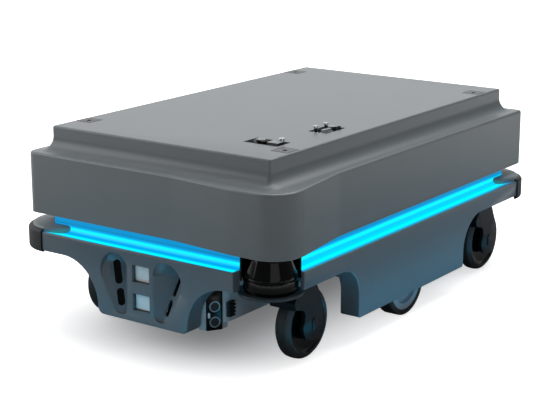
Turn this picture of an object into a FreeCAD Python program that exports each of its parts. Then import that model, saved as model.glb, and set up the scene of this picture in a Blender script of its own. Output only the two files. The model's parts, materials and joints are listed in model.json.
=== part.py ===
import FreeCAD, Part

import math
import os
import re

from FreeCAD import Placement, Rotation, Vector

# Low autonomous mobile robot on two drive wheels and four swivel casters.
# Frame: +X is the driving direction, +Y the robot's left, +Z up, and the origin is on
# the floor below the middle of the body.  Millimetres throughout.

SIZES = {
    # overall envelope and levels above the floor
    "body_length": 890.0,
    "body_width": 580.0,
    "deck_top": 352.0,
    "band_top": 172.0,
    "front_band_bottom": 138.0,
    "side_band_bottom": 142.0,
    "skirt_bottom": 48.0,
    "bumper_proud": 2.0,
    "sheet": 3.0,
    "fit": 0.3,
    "shaft_fit": 0.05,
    # hood
    "hood_inset_x": 19.5,
    "hood_inset_y": 20.0,
    "hood_bottom": 199.5,
    "plateau_rise": 44.0,
    "hood_wall": 4.0,
    "ledge_x": 32.5,
    "ledge_y": 35.0,
    "plateau_corner": 4.0,
    "cove_radius": 26.0,
    "lip_radius": 5.0,
    "crown_radius": 4.0,
    "flare_x": 13.0,
    "flare_y": 18.0,
    "flare_back_x": 200.0,
    "flare_back_y": 230.0,
    "flare_front_x": 70.0,
    "flare_front_y": 100.0,
    "scanner_corner": 50.0,
    "front_corner": 20.0,
    "rear_corner": 9.0,
    # chassis tray and deck
    "tray_inset_x": 65.0,
    "tray_inset_y": 158.0,
    "tray_corner": 14.0,
    "tray_step_inset_x": 206.0,
    "tray_step_inset_y": 208.0,
    "tray_bottom": 57.0,
    "deck_bottom": 150.0,
    "deck_sheet": 4.0,
    "side_depth": 38.0,
    "cover_depth": 36.0,
    # payload posts
    "post_inset_x": 123.5,
    "post_inset_y": 76.8,
    "post_width": 31.0,
    "post_hole": 4.25,
    "post_hole_depth": 20.0,
    "post_gap": 0.5,
    # lower covers
    "front_offset": 4.0,
    "front_skirt": 197.0,
    "arch_inset": 210.0,
    "side_middle": 23.5,
    "side_skirt": 369.0,
    "side_arch_front": 50.0,
    "side_arch_rear": 66.0,
    "skirt_corner": 12.0,
    "edge_radius": 2.5,
    "scanner_end_y": 93.0,
    "bumper_end": 68.0,
    "scanner_end_x": 73.0,
    "cover_travel": 60.0,
    # camera recesses in the front cover
    "recess_inner": 28.0,
    "recess_top": 163.5,
    "recess_bottom": 57.0,
    "recess_slant": 0.512,
    "recess_foot": 55.6,
    "recess_deep": 30.0,
    "recess_wall": 2.2,
    "camera_shift": 2.7,
    "slot_width": 13.0,
    # release buttons
    "button_width": 33.0,
    "button_height": 27.0,
    "button_window_width": 37.0,
    "button_window_height": 30.0,
    "button_sink": 6.0,
    "button_length": 4.8,
    "button_travel": 4.0,
    "button_upper": 134.0,
    "button_lower": 84.0,
    "button_corner": 3.0,
    # light trough
    "trough_depth": 35.0,
    "trough_floor": 168.0,
    "trough_bend": 10.0,
    "trough_top": 202.0,
    "strip_sheet": 3.0,
    "trough_foot": 58.0,
    "trough_inset_y": 105.0,
    "trough_inset_x": 79.0,
    "cap_top": 181.0,
    "cap_inset": 106.0,
    "bumper_radius": 66.0,
    "bumper_sheet": 8.0,
    "bumper_bottom": 135.0,
    # laser scanner
    "scanner_inset_x": 57.0,
    "scanner_inset_y": 57.5,
    "disc_bottom": 132.6,
    "disc_sheet": 4.4,
    "disc_radius": 54.0,
    "scanner_radius": 45.0,
    "scanner_rim": 162.0,
    "scanner_top": 196.0,
    "scanner_top_radius": 33.0,
    "shroud_radius": 47.0,
    "scanner_gap": 1.5,
    "scallop": 29.0,
    # wheels
    "wheel_radius": 62.5,
    "wheel_width": 30.0,
    "caster_inset_front": 114.0,
    "caster_inset_rear": 156.0,
    "caster_inset_side": 50.5,
    "caster_inset": 66.0,
    "caster_trail": 20.0,
    "caster_core": 50.0,
    "caster_axle": 6.0,
    "fork_gap": 3.0,
    "fork_leg": 8.0,
    "crown_top": 131.0,
    "head_radius": 26.0,
    "spindle_radius": 8.0,
    "spindle_length": 17.5,
    "drive_x": 20.0,
    "drive_inset": 35.0,
    "rim_radius": 52.0,
    "drive_shaft": 8.0,
    "motor_radius": 28.0,
    "motor_height": 104.0,
    "motor_length": 92.0,
    # control panel and charge socket
    "panel_height": 72.0,
    "panel_bottom": 46.0,
    "panel_sheet": 4.0,
    "ring_radius": 9.5,
    "cap_radius": 7.2,
    "cap_travel": 2.0,
    "ring_upper": 88.5,
    "ring_lower": 61.5,
    "socket_width": 18.0,
    "socket_height": 26.0,
    "socket_inset": 14.0,
    "socket_level": 80.0,
    "panel_rear_inset_x": 63.0,
    "panel_rear_inset_y": 160.4,
    "panel_front_inset_x": 38.5,
    "panel_front_inset_y": 175.9,
    "nose_inset_y": 194.0,
    # battery and computer in the tray
    "battery_length": 230.0,
    "battery_side": 22.0,
    "battery_back": 50.0,
    "battery_headroom": 12.0,
    "battery_rib": 22.0,
    "battery_rib_length": 90.0,
    "battery_rib_x": 95.0,
    "battery_rib_headroom": 4.0,
    "computer_length": 210.0,
    "computer_side": 12.0,
    "computer_front": 60.0,
    "computer_headroom": 38.0,
    "fin_pitch": 20.0,
    "fin_sheet": 6.0,
    "fin_headroom": 24.0,
    # interface cut-outs in the hood
    "window_wide": 39.0,
    "window_long": 69.0,
    "window_inset_x": 157.5,
    "window_inset_y": 137.5,
    "window_b_long": 61.0,
    "window_b_wide": 38.0,
    "window_far_inset": 300.0,
    "window_near_inset": 113.0,
    "window_sink": 6.0,
}

# lengths and places that follow others: each is a sum of shares of named sizes
TIED = {
    "hood_length": ((1, "body_length"), (-2, "hood_inset_x")),
    "hood_width": ((1, "body_width"), (-2, "hood_inset_y")),
    "hood_lip": ((1, "deck_top"), (-1, "plateau_rise")),
    "plateau_length": ((1, "hood_length"), (-2, "ledge_x")),
    "plateau_width": ((1, "hood_width"), (-2, "ledge_y")),
    "flare_start_x": ((0.5, "body_length"), (-1, "flare_back_x")),
    "flare_start_y": ((0.5, "body_width"), (-1, "flare_back_y")),
    "flare_end_x": ((0.5, "body_length"), (-1, "flare_front_x")),
    "flare_end_y": ((0.5, "body_width"), (-1, "flare_front_y")),
    "tray_length": ((1, "body_length"), (-2, "tray_inset_x")),
    "tray_width": ((1, "body_width"), (-2, "tray_inset_y")),
    "tray_step_x": ((0.5, "body_length"), (-1, "tray_step_inset_x")),
    "tray_step_y": ((0.5, "body_width"), (-1, "tray_step_inset_y")),
    "post_pitch_x": ((1, "body_length"), (-2, "post_inset_x")),
    "post_pitch_y": ((1, "body_width"), (-2, "post_inset_y")),
    "front_arch": ((0.5, "body_width"), (-1, "arch_inset")),
    "front_end_scanner": ((0.5, "body_width"), (-1, "scanner_end_y")),
    "front_end_bumper": ((0.5, "body_width"), (-1, "bumper_end")),
    "side_end_scanner": ((0.5, "body_length"), (-1, "scanner_end_x")),
    "side_end_bumper": ((0.5, "body_length"), (-1, "bumper_end")),
    "trough_end_front": ((0.5, "body_width"), (-1, "trough_inset_y")),
    "trough_end_side": ((0.5, "body_length"), (-1, "trough_inset_x")),
    "cap_reach": ((0.5, "body_width"), (-1, "cap_inset")),
    "scanner_x": ((0.5, "body_length"), (-1, "scanner_inset_x")),
    "scanner_y": ((0.5, "body_width"), (-1, "scanner_inset_y")),
    "caster_front": ((0.5, "body_length"), (-1, "caster_inset_front")),
    "caster_rear": ((0.5, "body_length"), (-1, "caster_inset_rear")),
    "caster_track": ((1, "body_width"), (-2, "caster_inset_side")),
    "drive_track": ((1, "body_width"), (-2, "drive_inset")),
    "window_a_x": ((0.5, "body_length"), (-1, "window_inset_x")),
    "window_a_y": ((0.5, "body_width"), (-1, "window_inset_y")),
    "window_b_x": ((0.5, "body_length"), (-1, "window_far_inset")),
    "window_b_y": ((0.5, "body_width"), (-1, "window_near_inset")),
}

doc = FreeCAD.newDocument("mobile_robot")
sheet = doc.addObject("Spreadsheet::Sheet", "Sizes")
for row, (name, value) in enumerate(SIZES.items(), 1):
    sheet.set(f"A{row}", name)
    sheet.set(f"B{row}", str(value))
    sheet.setAlias(f"B{row}", name)
doc.recompute()

NAME = re.compile(r"[a-z][a-z_]+")
nodes = []


def size(name):
    """A driving dimension, read back from the sheet, or one that is tied to others."""
    if name in TIED:
        return sum(share * size(other) for share, other in TIED[name])
    return float(sheet.get(name))


def spelled(name):
    """A size's name as an expression of the sheet's aliases."""
    if name in TIED:
        terms = [f"{share} * {spelled(other)}" for share, other in TIED[name]]
        return "(" + " + ".join(terms) + ")"
    return "Sizes." + name


def bound(text):
    """An expression whose words are aliases of the sheet."""
    return NAME.sub(lambda match: spelled(match.group(0)), text)


def keep(thing, label):
    """Mark a document object as a finished piece."""
    thing.Label = label
    nodes.append(thing)
    return thing


# ---------------------------------------------------------------- drawing helpers

def loop(corners):
    """Closed outline through corners (x, y, radius), with each corner rounded by an arc."""
    count = len(corners)
    points = [Vector(x, y, 0) for x, y, _ in corners]
    ways = []
    wanted = []
    for index, (_, _, radius) in enumerate(corners):
        back = (points[index - 1] - points[index]).normalize()
        ahead = (points[(index + 1) % count] - points[index]).normalize()
        angle = back.getAngle(ahead)
        sharp = radius <= 0 or angle > math.pi - 1e-4
        ways.append((back, ahead, angle))
        wanted.append(0.0 if sharp else radius / math.tan(angle / 2))
    spans = []
    for index, here in enumerate(points):
        back, ahead, angle = ways[index]
        reach = wanted[index]
        if reach <= 0:
            spans.append((here, None, here))
            continue
        # two arcs that want more than the side between them share it
        for other in (index - 1, (index + 1) % count):
            room = (points[other] - here).Length
            reach = min(reach, room * wanted[index] / (wanted[index] + wanted[other]))
        radius = reach * math.tan(angle / 2)
        inward = (back + ahead).normalize()
        middle = here + inward * (radius / math.sin(angle / 2) - radius)
        spans.append((here + back * reach, middle, here + ahead * reach))
    curves = []
    for index in range(count):
        start, middle, end = spans[index]
        if middle is not None:
            curves.append(Part.Arc(start, middle, end))
        following = spans[(index + 1) % count][0]
        if (following - end).Length > 1e-6:
            curves.append(Part.LineSegment(end, following))
    return curves


def circle(x, y, radius):
    return [Part.Circle(Vector(x, y, 0), Vector(0, 0, 1), radius)]


def rectangle(x, y, width, height, radius=0.0):
    """Outline of a rectangle about its centre."""
    half_w = width / 2
    half_h = height / 2
    return loop([(x - half_w, y - half_h, radius), (x + half_w, y - half_h, radius),
                 (x + half_w, y + half_h, radius), (x - half_w, y + half_h, radius)])


def new_body(label):
    return doc.addObject("PartDesign::Body", label)


def sketch(body, role, curves, offset="0"):
    """Sketch on an origin plane of the body, moved along the plane's normal."""
    plane = [item for item in body.Origin.OriginFeatures if item.Role == role][0]
    drawing = body.newObject("Sketcher::SketchObject", body.Name + "_sketch")
    drawing.AttachmentSupport = [(plane, "")]
    drawing.MapMode = "FlatFace"
    drawing.setExpression("AttachmentOffset.Base.z", bound(offset))
    for curve in curves:
        drawing.addGeometry(curve, False)
    drawing.Visibility = False
    return drawing


def pad(body, role, curves, length, offset="0", back=False):
    """Pad along the plane's normal, or against it."""
    feature = body.newObject("PartDesign::Pad", body.Name + "_pad")
    feature.Profile = sketch(body, role, curves, offset)
    feature.setExpression("Length", bound(length))
    feature.Reversed = back
    body.Tip = feature
    return feature


def pocket(body, role, curves, length, offset="0", back=False):
    """Pocket against the plane's normal, or along it."""
    feature = body.newObject("PartDesign::Pocket", body.Name + "_pocket")
    feature.Profile = sketch(body, role, curves, offset)
    feature.setExpression("Length", bound(length))
    feature.Reversed = back
    body.Tip = feature
    return feature


def turn(body, role, curves, axis):
    """Full revolution of a profile about a sketch axis, H_Axis or V_Axis."""
    feature = body.newObject("PartDesign::Revolution", body.Name + "_turn")
    profile = sketch(body, role, curves)
    feature.Profile = profile
    feature.ReferenceAxis = (profile, [axis])
    feature.Angle = 360.0
    body.Tip = feature
    return feature


def round_edges(body, radius, chosen):
    """Fillet the edges of the tip that the test picks."""
    doc.recompute()
    base = body.Tip
    names = [f"Edge{number}" for number, edge in enumerate(base.Shape.Edges, 1)
             if chosen(edge)]
    feature = body.newObject("PartDesign::Fillet", body.Name + "_round")
    feature.Base = (base, names)
    feature.setExpression("Radius", bound(radius))
    body.Tip = feature
    return feature


def place(thing, x="0", y="0", z="0", turned=None):
    """Put a piece at a place written in the sheet's words."""
    if turned is not None:
        thing.Placement = Placement(Vector(), turned)
    for axis, text in (("x", x), ("y", y), ("z", z)):
        thing.setExpression(f"Placement.Base.{axis}", bound(text))
    return thing


def box(name, low, sides):
    """Box from its low corner and its three sides, all written in the sheet's words."""
    solid = doc.addObject("Part::Box", name)
    for field, text in zip(("Length", "Width", "Height"), sides):
        solid.setExpression(field, bound(text))
    return place(solid, *low)


def rod(name, radius, length, at, turned=None):
    """Cylinder along its own Z from the point given."""
    solid = doc.addObject("Part::Cylinder", name)
    solid.setExpression("Radius", bound(radius))
    solid.setExpression("Height", bound(length))
    return place(solid, *at, turned=turned)


def fused(name, shapes):
    solid = doc.addObject("Part::MultiFuse", name)
    solid.Shapes = shapes
    return solid


def cut(name, base, tool):
    solid = doc.addObject("Part::Cut", name)
    solid.Base = base
    solid.Tool = tool
    return solid


TO_LEFT = Rotation(Vector(1, 0, 0), -90)
TO_RIGHT = Rotation(Vector(1, 0, 0), 90)
HALF_TURN = Rotation(Vector(0, 0, 1), 180)


# ---------------------------------------------------------------- hood

def hood_outline(inset):
    """Hood wall seen from above, flared round the two scanner corners."""
    half_x = size("hood_length") / 2 - inset
    half_y = size("hood_width") / 2 - inset
    out_x = half_x + size("flare_x")
    out_y = half_y + size("flare_y")
    corner = size("scanner_corner") - inset
    half = [
        (half_x, size("flare_start_y"), 300),
        (out_x, size("flare_end_y"), 200),
        (out_x, out_y, corner),
        (size("flare_end_x"), out_y, 60),
        (size("flare_start_x"), half_y, 150),
    ]
    turned = [(-x, -y, radius) for x, y, radius in half]
    return loop(half + [(-half_x, half_y, size("rear_corner") - inset)]
                + turned + [(half_x, -half_y, size("front_corner") - inset)])


def hood_form(name, inset):
    """Solid hood: straight wall, cove and flat plateau, smaller by the inset."""
    body = new_body(name)
    shrink = f"{inset}"
    pad(body, "XY_Plane", hood_outline(inset),
        f"hood_lip - hood_bottom - {shrink}", "hood_bottom")
    plateau_x = size("plateau_length") - 2 * inset
    plateau_y = size("plateau_width") - 2 * inset
    pad(body, "XY_Plane", rectangle(0, 0, plateau_x, plateau_y, size("plateau_corner")),
        f"deck_top - hood_lip + 1", f"hood_lip - {shrink} - 1")
    ledge = size("hood_lip") - inset
    top = size("deck_top") - inset

    def on_ledge(edge):
        return edge.BoundBox.ZLength < 0.01 and abs(edge.BoundBox.ZMin - ledge) < 0.01

    def by_plateau(edge):
        middle = edge.CenterOfMass
        return abs(middle.x) < plateau_x / 2 + 1 and abs(middle.y) < plateau_y / 2 + 1

    round_edges(body, "cove_radius", lambda edge: on_ledge(edge) and by_plateau(edge))
    round_edges(body, f"lip_radius - {inset * 0.5}",
                lambda edge: on_ledge(edge) and not by_plateau(edge))
    round_edges(body, f"crown_radius - {inset * 0.5}",
                lambda edge: edge.BoundBox.ZLength < 0.01
                and abs(edge.BoundBox.ZMin - top) < 0.01)
    return body


def build_hood():
    outside = hood_form("hood_outside", 0.0)
    inside = hood_form("hood_inside", size("hood_wall"))
    shell = cut("hood_shell", outside, inside)
    holes = []
    for number, (along, across) in enumerate(POSTS):
        holes.append(box(f"post_hole_{number}",
                         (f"{along} * post_pitch_x / 2 - post_width / 2 - post_gap",
                          f"{across} * post_pitch_y / 2 - post_width / 2 - post_gap",
                          "hood_lip"),
                         ("post_width + 2 * post_gap", "post_width + 2 * post_gap",
                          "deck_top - hood_lip + 1")))
    holes.append(box("window_a_hole",
                     ("window_a_x - window_wide / 2", "window_a_y - window_long / 2",
                      "hood_lip"),
                     ("window_wide", "window_long", "deck_top - hood_lip + 1")))
    holes.append(box("window_b_hole",
                     ("window_b_x - window_b_long / 2", "window_b_y - window_b_wide / 2",
                      "hood_lip"),
                     ("window_b_long", "window_b_wide", "deck_top - hood_lip + 1")))
    keep(cut("hood", shell, fused("hood_holes", holes)), "hood")


# ---------------------------------------------------------------- chassis

POSTS = [(1, 1), (1, -1), (-1, 1), (-1, -1)]
CASTERS = [("front_left", 1, 1), ("front_right", 1, -1),
           ("rear_left", -1, 1), ("rear_right", -1, -1)]


def caster_at(end, side):
    """Swivel axis of a caster, in the sheet's words."""
    along = "caster_front" if end > 0 else "-caster_rear"
    across = f"{side} * caster_track / 2"
    if end > 0 and side < 0:
        across += " + caster_inset"
    return along, across


def tray_outline(inset):
    """Tray in plan, with its right wall stepped in beside the front right caster."""
    half_x = size("tray_length") / 2 - inset
    half_y = size("tray_width") / 2 - inset
    step_x = size("tray_step_x") - inset
    step_y = size("tray_step_y") - inset
    corner = size("tray_corner") - inset
    return loop([(-half_x, -half_y, corner), (step_x, -half_y, corner),
                 (step_x, -step_y, corner + 2 * inset), (half_x, -step_y, corner),
                 (half_x, half_y, corner), (-half_x, half_y, corner)])


def build_tray():
    """Folded steel tray between the casters, with the control box on its nose."""
    half_x = size("tray_length") / 2
    body = new_body("tray_body")
    pad(body, "XY_Plane", tray_outline(0.0), "deck_bottom - tray_bottom", "tray_bottom")
    pocket(body, "XY_Plane", tray_outline(size("sheet")),
           "deck_bottom - tray_bottom - sheet", "deck_bottom")
    start, end = panel_line(size("panel_sheet"))
    inner = size("body_width") / 2 - size("nose_inset_y")
    nose = [(start.x, start.y, 0), (end.x, end.y, 2), (end.x, inner, 2),
            (half_x - 1, inner, 0), (half_x - 15, start.y, 0)]
    pad(body, "XY_Plane", loop(nose), "panel_height", "panel_bottom")
    holes = [rod(f"motor_hole_{side}", "motor_radius + 1", "3 * sheet",
                 ("drive_x", f"{side} * tray_width / 2 - {side} * 2 * sheet",
                  "motor_height"), TO_LEFT if side > 0 else TO_RIGHT)
             for side in (1, -1)]
    keep(cut("chassis_tray", body, fused("tray_holes", holes)), "chassis_tray")


def build_deck():
    """Deck plate that closes the tray and carries the caster heads below it."""
    front = size("body_length") / 2 - size("bumper_proud") - size("cover_depth")
    edge_x = front - size("fit")
    edge_y = size("body_width") / 2 - size("bumper_proud") - size("side_depth")
    plate = new_body("deck_sheet_body")
    pad(plate, "XY_Plane", rectangle(0, 0, 2 * edge_x, 2 * edge_y, 18),
        "deck_sheet", "deck_bottom")
    cuts = [rod(f"scanner_hole_{sign}", "scanner_radius + scanner_gap", "4 * deck_sheet",
                (f"{sign} * scanner_x", f"{sign} * scanner_y",
                 "deck_bottom - deck_sheet")) for sign in (1, -1)]
    shapes = [cut("deck_trimmed", plate, fused("scanner_holes", cuts))]
    for name, end, side in CASTERS:
        along, across = caster_at(end, side)
        shapes.append(rod(f"head_{name}", "head_radius",
                          "deck_bottom + deck_sheet - crown_top - fit * 2",
                          (along, across, "crown_top + fit * 2")))
    whole = fused("deck_with_heads", shapes)
    bores = []
    for name, end, side in CASTERS:
        along, across = caster_at(end, side)
        bores.append(rod(f"bore_{name}", "spindle_radius + shaft_fit",
                         "spindle_length + 1", (along, across, "crown_top")))
    keep(cut("deck_plate", whole, fused("head_bores", bores)), "deck_plate")


def build_posts():
    """Square payload posts with a blind threaded hole in the top face."""
    for along, across in POSTS:
        label = "payload_post_" + ("front" if along > 0 else "rear")
        label += "_left" if across > 0 else "_right"
        body = new_body(label)
        width = size("post_width")
        pad(body, "XY_Plane", rectangle(0, 0, width, width, 1.5),
            "deck_top - deck_bottom - deck_sheet")
        pocket(body, "XY_Plane", circle(0, 0, size("post_hole")), "post_hole_depth",
               "deck_top - deck_bottom - deck_sheet")
        shelf = "deck_top - hood_wall - fit - deck_bottom - 2 * deck_sheet"
        pad(body, "XY_Plane", rectangle(0, 0, width + 15, width + 1, 0.5), "deck_sheet",
            shelf)
        place(body, f"{along} * post_pitch_x / 2", f"{across} * post_pitch_y / 2",
              "deck_bottom + deck_sheet")
        keep(body, label)


def build_inside():
    """Battery and computer, which lie on the floor of the tray."""
    floor = "tray_bottom + sheet"
    room = "deck_bottom - tray_bottom - sheet"
    half_x = size("tray_length") / 2
    long = size("battery_length")
    middle = size("battery_back") + long / 2 - half_x
    battery = new_body("battery")
    pad(battery, "XY_Plane", rectangle(middle, 0, long,
                                       size("tray_width") - 2 * size("battery_side"), 6),
        f"{room} - battery_headroom", floor)
    pad(battery, "XY_Plane", rectangle(middle + size("battery_rib_x"), 0,
                                       size("battery_rib"), size("battery_rib_length"), 4),
        f"{room} - battery_rib_headroom", floor)
    keep(battery, "battery")
    computer = new_body("computer")
    across = (size("tray_width") / 2 - size("tray_step_y")) / 2
    wide = size("tray_width") / 2 + size("tray_step_y") - 2 * size("computer_side")
    middle = half_x - size("computer_front") - size("computer_length") / 2
    pad(computer, "XY_Plane", rectangle(middle, across, size("computer_length"), wide, 4),
        f"{room} - computer_headroom", floor)
    pitch = size("fin_pitch")
    count = int((size("computer_length") - pitch) / pitch)
    for number in range(count):
        fin = rectangle(middle + (number - (count - 1) / 2) * pitch, across,
                        size("fin_sheet"), wide - pitch)
        pad(computer, "XY_Plane", fin, f"{room} - fin_headroom", floor)
    keep(computer, "computer")


# ---------------------------------------------------------------- lower covers

def front_outline(inset, open_by=0.0):
    """Front cover in the Y-Z plane: band over the arches, skirt between them."""
    middle = size("front_offset")
    half = size("front_skirt") / 2 - inset
    bottom = size("skirt_bottom") + inset
    under = size("front_band_bottom") + inset
    top = size("band_top") + open_by
    left = size("front_end_scanner") - inset
    right = -size("front_end_bumper") + inset
    arch = size("front_arch") + inset
    small = size("skirt_corner") - inset
    return loop([(left, top, 0), (right, top, 0), (right, under, 4),
                 (middle - half, under, arch), (middle - half, bottom, small),
                 (middle + half, bottom, small), (middle + half, under, arch),
                 (left, under, 0)])


def recess_outline(side, grow):
    """Teardrop mouth of a camera recess: upright inner edge, slanted outer edge."""
    middle = size("front_offset") - 1
    top = size("recess_top") + grow
    bottom = size("recess_bottom") - grow
    inner = size("recess_inner") - grow
    foot = size("recess_foot") + grow
    crest = size("recess_foot") + grow + size("recess_slant") * (top - bottom)
    return loop([(middle + side * inner, top, 27 + grow), (middle + side * crest, top, 34),
                 (middle + side * foot, bottom, 14), (middle + side * inner, bottom, 14)])


def recess_section(level, side, scale, grow):
    """Plan section of the valley: inner flank, slotted wall and outer flank."""
    middle = size("front_offset") - 1
    face = size("body_length") / 2 - size("bumper_proud")
    deep = size("recess_deep") * scale + grow
    inner = size("recess_inner") - grow
    outer = size("recess_foot") + size("recess_slant") * (level - size("recess_bottom"))
    outer += grow
    span = outer - inner
    stations = [(inner, -2), (inner, 0), (inner + 0.41 * span, deep),
                (inner + 0.80 * span, 0.48 * deep + grow / 2), (outer, 0), (outer, -2)]
    points = [Vector(face - depth, middle + side * across, level)
              for across, depth in stations]
    return Part.makePolygon(points + points[:1])


def recess_valley(side, grow):
    """Valley of a camera recess, deepest near its top and shallow at its foot."""
    top = size("recess_top") + grow
    bottom = size("recess_bottom") - grow
    levels = [(bottom - 1, 0.22), (top - 24, 1.0), (top + 1, 0.35)]
    sections = [recess_section(level, side, scale, grow) for level, scale in levels]
    return Part.makeLoft(sections, True, True)


def recess_solid(side, grow):
    """The valley, trimmed to its teardrop mouth."""
    edges = [curve.toShape() for curve in recess_outline(side, grow)]
    mouth = Part.Face(Part.Wire(Part.__sortEdges__(edges)))
    turned = Placement(Vector(), Rotation(Vector(1, 1, 1), 120))
    mouth.Placement = turned
    prism = mouth.extrude(Vector(size("body_length"), 0, 0))
    return recess_valley(side, grow).common(prism)


def slot_frame(side):
    """Middle, direction up the slots and outward normal of a slotted wall."""
    low = size("recess_bottom") + 12
    high = size("recess_top") - 20
    ends = []
    for level in (low, high):
        fraction = (level - size("recess_bottom") + 1) / (
            size("recess_top") - 24 - size("recess_bottom") + 1)
        scale = 0.22 + 0.78 * min(fraction, 1.0)
        wire = recess_section(level, side, scale, 0.0)
        corners = wire.OrderedVertexes
        ends.append((corners[2].Point, corners[3].Point))
    middle_low = (ends[0][0] + ends[0][1]) * 0.5
    middle_high = (ends[1][0] + ends[1][1]) * 0.5
    upward = middle_high - middle_low
    length = upward.Length
    upward.normalize()
    across = ends[1][0] - ends[1][1]
    outward = upward.cross(across)
    if outward.x < 0:
        outward = -outward
    outward.normalize()
    return middle_low, upward, outward, length


def frame_rotation(upward, outward):
    """Rotation that takes X to the normal and Z to the direction up the slots."""
    sideways = upward.cross(outward)
    return Rotation(outward, sideways, upward, "ZXY")


def stadium(start, upward, outward, width, low, high, depth):
    """Slot with round ends along a direction, cut to both sides of its wall."""
    turned = frame_rotation(upward, outward)
    radius = width / 2
    edges = [curve.toShape() for curve in loop([(low, -radius, radius * 0.999),
                                                (high, -radius, radius * 0.999),
                                                (high, radius, radius * 0.999),
                                                (low, radius, radius * 0.999)])]
    face = Part.Face(Part.Wire(Part.__sortEdges__(edges)))
    solid = face.extrude(Vector(0, 0, 2 * depth))
    solid.translate(Vector(0, 0, -depth))
    solid.Placement = Placement(Vector(), Rotation(Vector(0, 1, 0), -90)) * solid.Placement
    solid.rotate(Vector(), Vector(1, 0, 0), 0)
    solid.Placement = Placement(start, turned) * solid.Placement
    return solid


def cover_blank(name, sign):
    """Front or rear cover: a tray-shaped moulding with its mouth to the robot."""
    body = new_body(name)
    face = "body_length / 2 - bumper_proud"
    pad(body, "YZ_Plane", front_outline(0.0), "cover_depth", face, back=True)
    pocket(body, "YZ_Plane", front_outline(size("sheet"), 5.0), "cover_depth - sheet",
           face + " - cover_depth", back=True)
    notch = size("deck_bottom") + size("deck_sheet") - 0.5
    pocket(body, "YZ_Plane", rectangle(-size("front_end_bumper"), notch + 25, 20, 50),
           "cover_depth - sheet", face + " - cover_depth", back=True)
    outer = size("body_length") / 2 - size("bumper_proud")
    round_edges(body, "edge_radius",
                lambda edge: edge.BoundBox.XLength < 0.01
                and abs(edge.BoundBox.XMin - outer) < 0.01
                and edge.CenterOfMass.z < size("band_top") + 1)
    if sign < 0:
        body.Placement = Placement(Vector(), HALF_TURN)
    return body


def button_windows(name, sign):
    """Window blocks for the release buttons of a cover."""
    blocks = []
    for level in ("button_upper", "button_lower"):
        blocks.append(box(f"{name}_{level}",
                          (f"{sign} * (body_length / 2 - bumper_proud) - 20",
                           f"{sign} * front_offset - button_window_width / 2",
                           f"{level} - button_window_height / 2"),
                          ("40", "button_window_width", "button_window_height")))
    return blocks


def window_frames(name, sign):
    """Collar round each release button, behind the face of the cover."""
    blocks = []
    depth = "button_sink + 4"
    for level in ("button_upper", "button_lower"):
        low = "body_length / 2 - bumper_proud - 0.5 - button_sink - 4"
        if sign < 0:
            low = "-(body_length / 2 - bumper_proud) + 0.5"
        blocks.append(box(f"{name}_collar_{level}",
                          (low,
                           f"{sign} * front_offset - button_window_width / 2 - sheet",
                           f"{level} - button_window_height / 2 - sheet"),
                          (depth, "button_window_width + 2 * sheet",
                           "button_window_height + 2 * sheet")))
    return blocks


def build_front_cover():
    blank = cover_blank("front_cover_blank", 1)
    doc.recompute()
    wall = size("recess_wall")
    whole = blank.Shape
    face = size("body_length") / 2 - size("bumper_proud")
    behind = Part.makeBox(200, 2000, 1000, Vector(face - 200 - 0.5, -1000, 0))
    for side in (1, -1):
        whole = whole.fuse(recess_solid(side, wall).common(behind))
    for side in (1, -1):
        whole = whole.cut(recess_solid(side, 0.0))
        start, upward, outward, length = slot_frame(side)
        for low, high in ((0.47, 1.0), (0.0, 0.38)):
            whole = whole.cut(stadium(start, upward, outward, size("slot_width"),
                                      low * length, high * length, 12))
    moulding = doc.addObject("Part::Feature", "front_cover_moulding")
    moulding.Shape = whole.removeSplitter()
    framed = fused("front_cover_framed", [moulding] + window_frames("front", 1))
    holes = button_windows("front", 1)
    holes.append(scanner_room("front_cover_room", "shroud_radius + sheet + 0.6"))
    keep(cut("front_cover", framed, fused("front_windows", holes)), "front_cover")
    for side, word in ((1, "left"), (-1, "right")):
        start, upward, outward, length = slot_frame(side)
        camera = doc.addObject("Part::Box", f"camera_{word}")
        camera.Length, camera.Width, camera.Height = 14, 25, length + 11
        turned = frame_rotation(upward, outward)
        corner = Vector(-18 - wall / outward.x, -12.5, -5)
        forward = start + Vector(size("camera_shift"), 0, 0)
        camera.Placement = Placement(forward, turned) * Placement(corner, Rotation())
        keep(camera, f"camera_{word}")


def build_rear_cover():
    blank = cover_blank("rear_cover_blank", -1)
    framed = fused("rear_cover_framed", [blank] + window_frames("rear", -1))
    holes = button_windows("rear", -1)
    holes.append(scanner_room("rear_cover_room", "shroud_radius + sheet + 0.6"))
    keep(cut("rear_cover", framed, fused("rear_windows", holes)), "rear_cover")


def build_release_buttons():
    """Square release buttons, sunk in the windows of both end covers."""
    for sign, end in ((1, "front"), (-1, "rear")):
        for level in ("upper", "lower"):
            label = f"release_button_{end}_{level}"
            body = new_body(label)
            pad(body, "YZ_Plane", rectangle(0, 0, size("button_width"),
                                            size("button_height"), size("button_corner")),
                "button_length", "0", back=True)
            pad(body, "YZ_Plane", rectangle(0, 0, size("button_window_width") + 4,
                                            size("button_window_height") + 4, 1),
                "2", "0 - button_length", back=True)
            pad(body, "YZ_Plane", circle(0, 0, 5), "9", "0 - button_length - 1",
                back=True)
            round_edges(body, "1", lambda edge: abs(edge.BoundBox.XMin) < 0.01
                        and edge.BoundBox.XLength < 0.01)
            place(body, f"{sign} * (body_length / 2 - bumper_proud - button_sink)",
                  f"{sign} * front_offset", f"button_{level}",
                  HALF_TURN if sign < 0 else None)
            keep(body, label)


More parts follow.
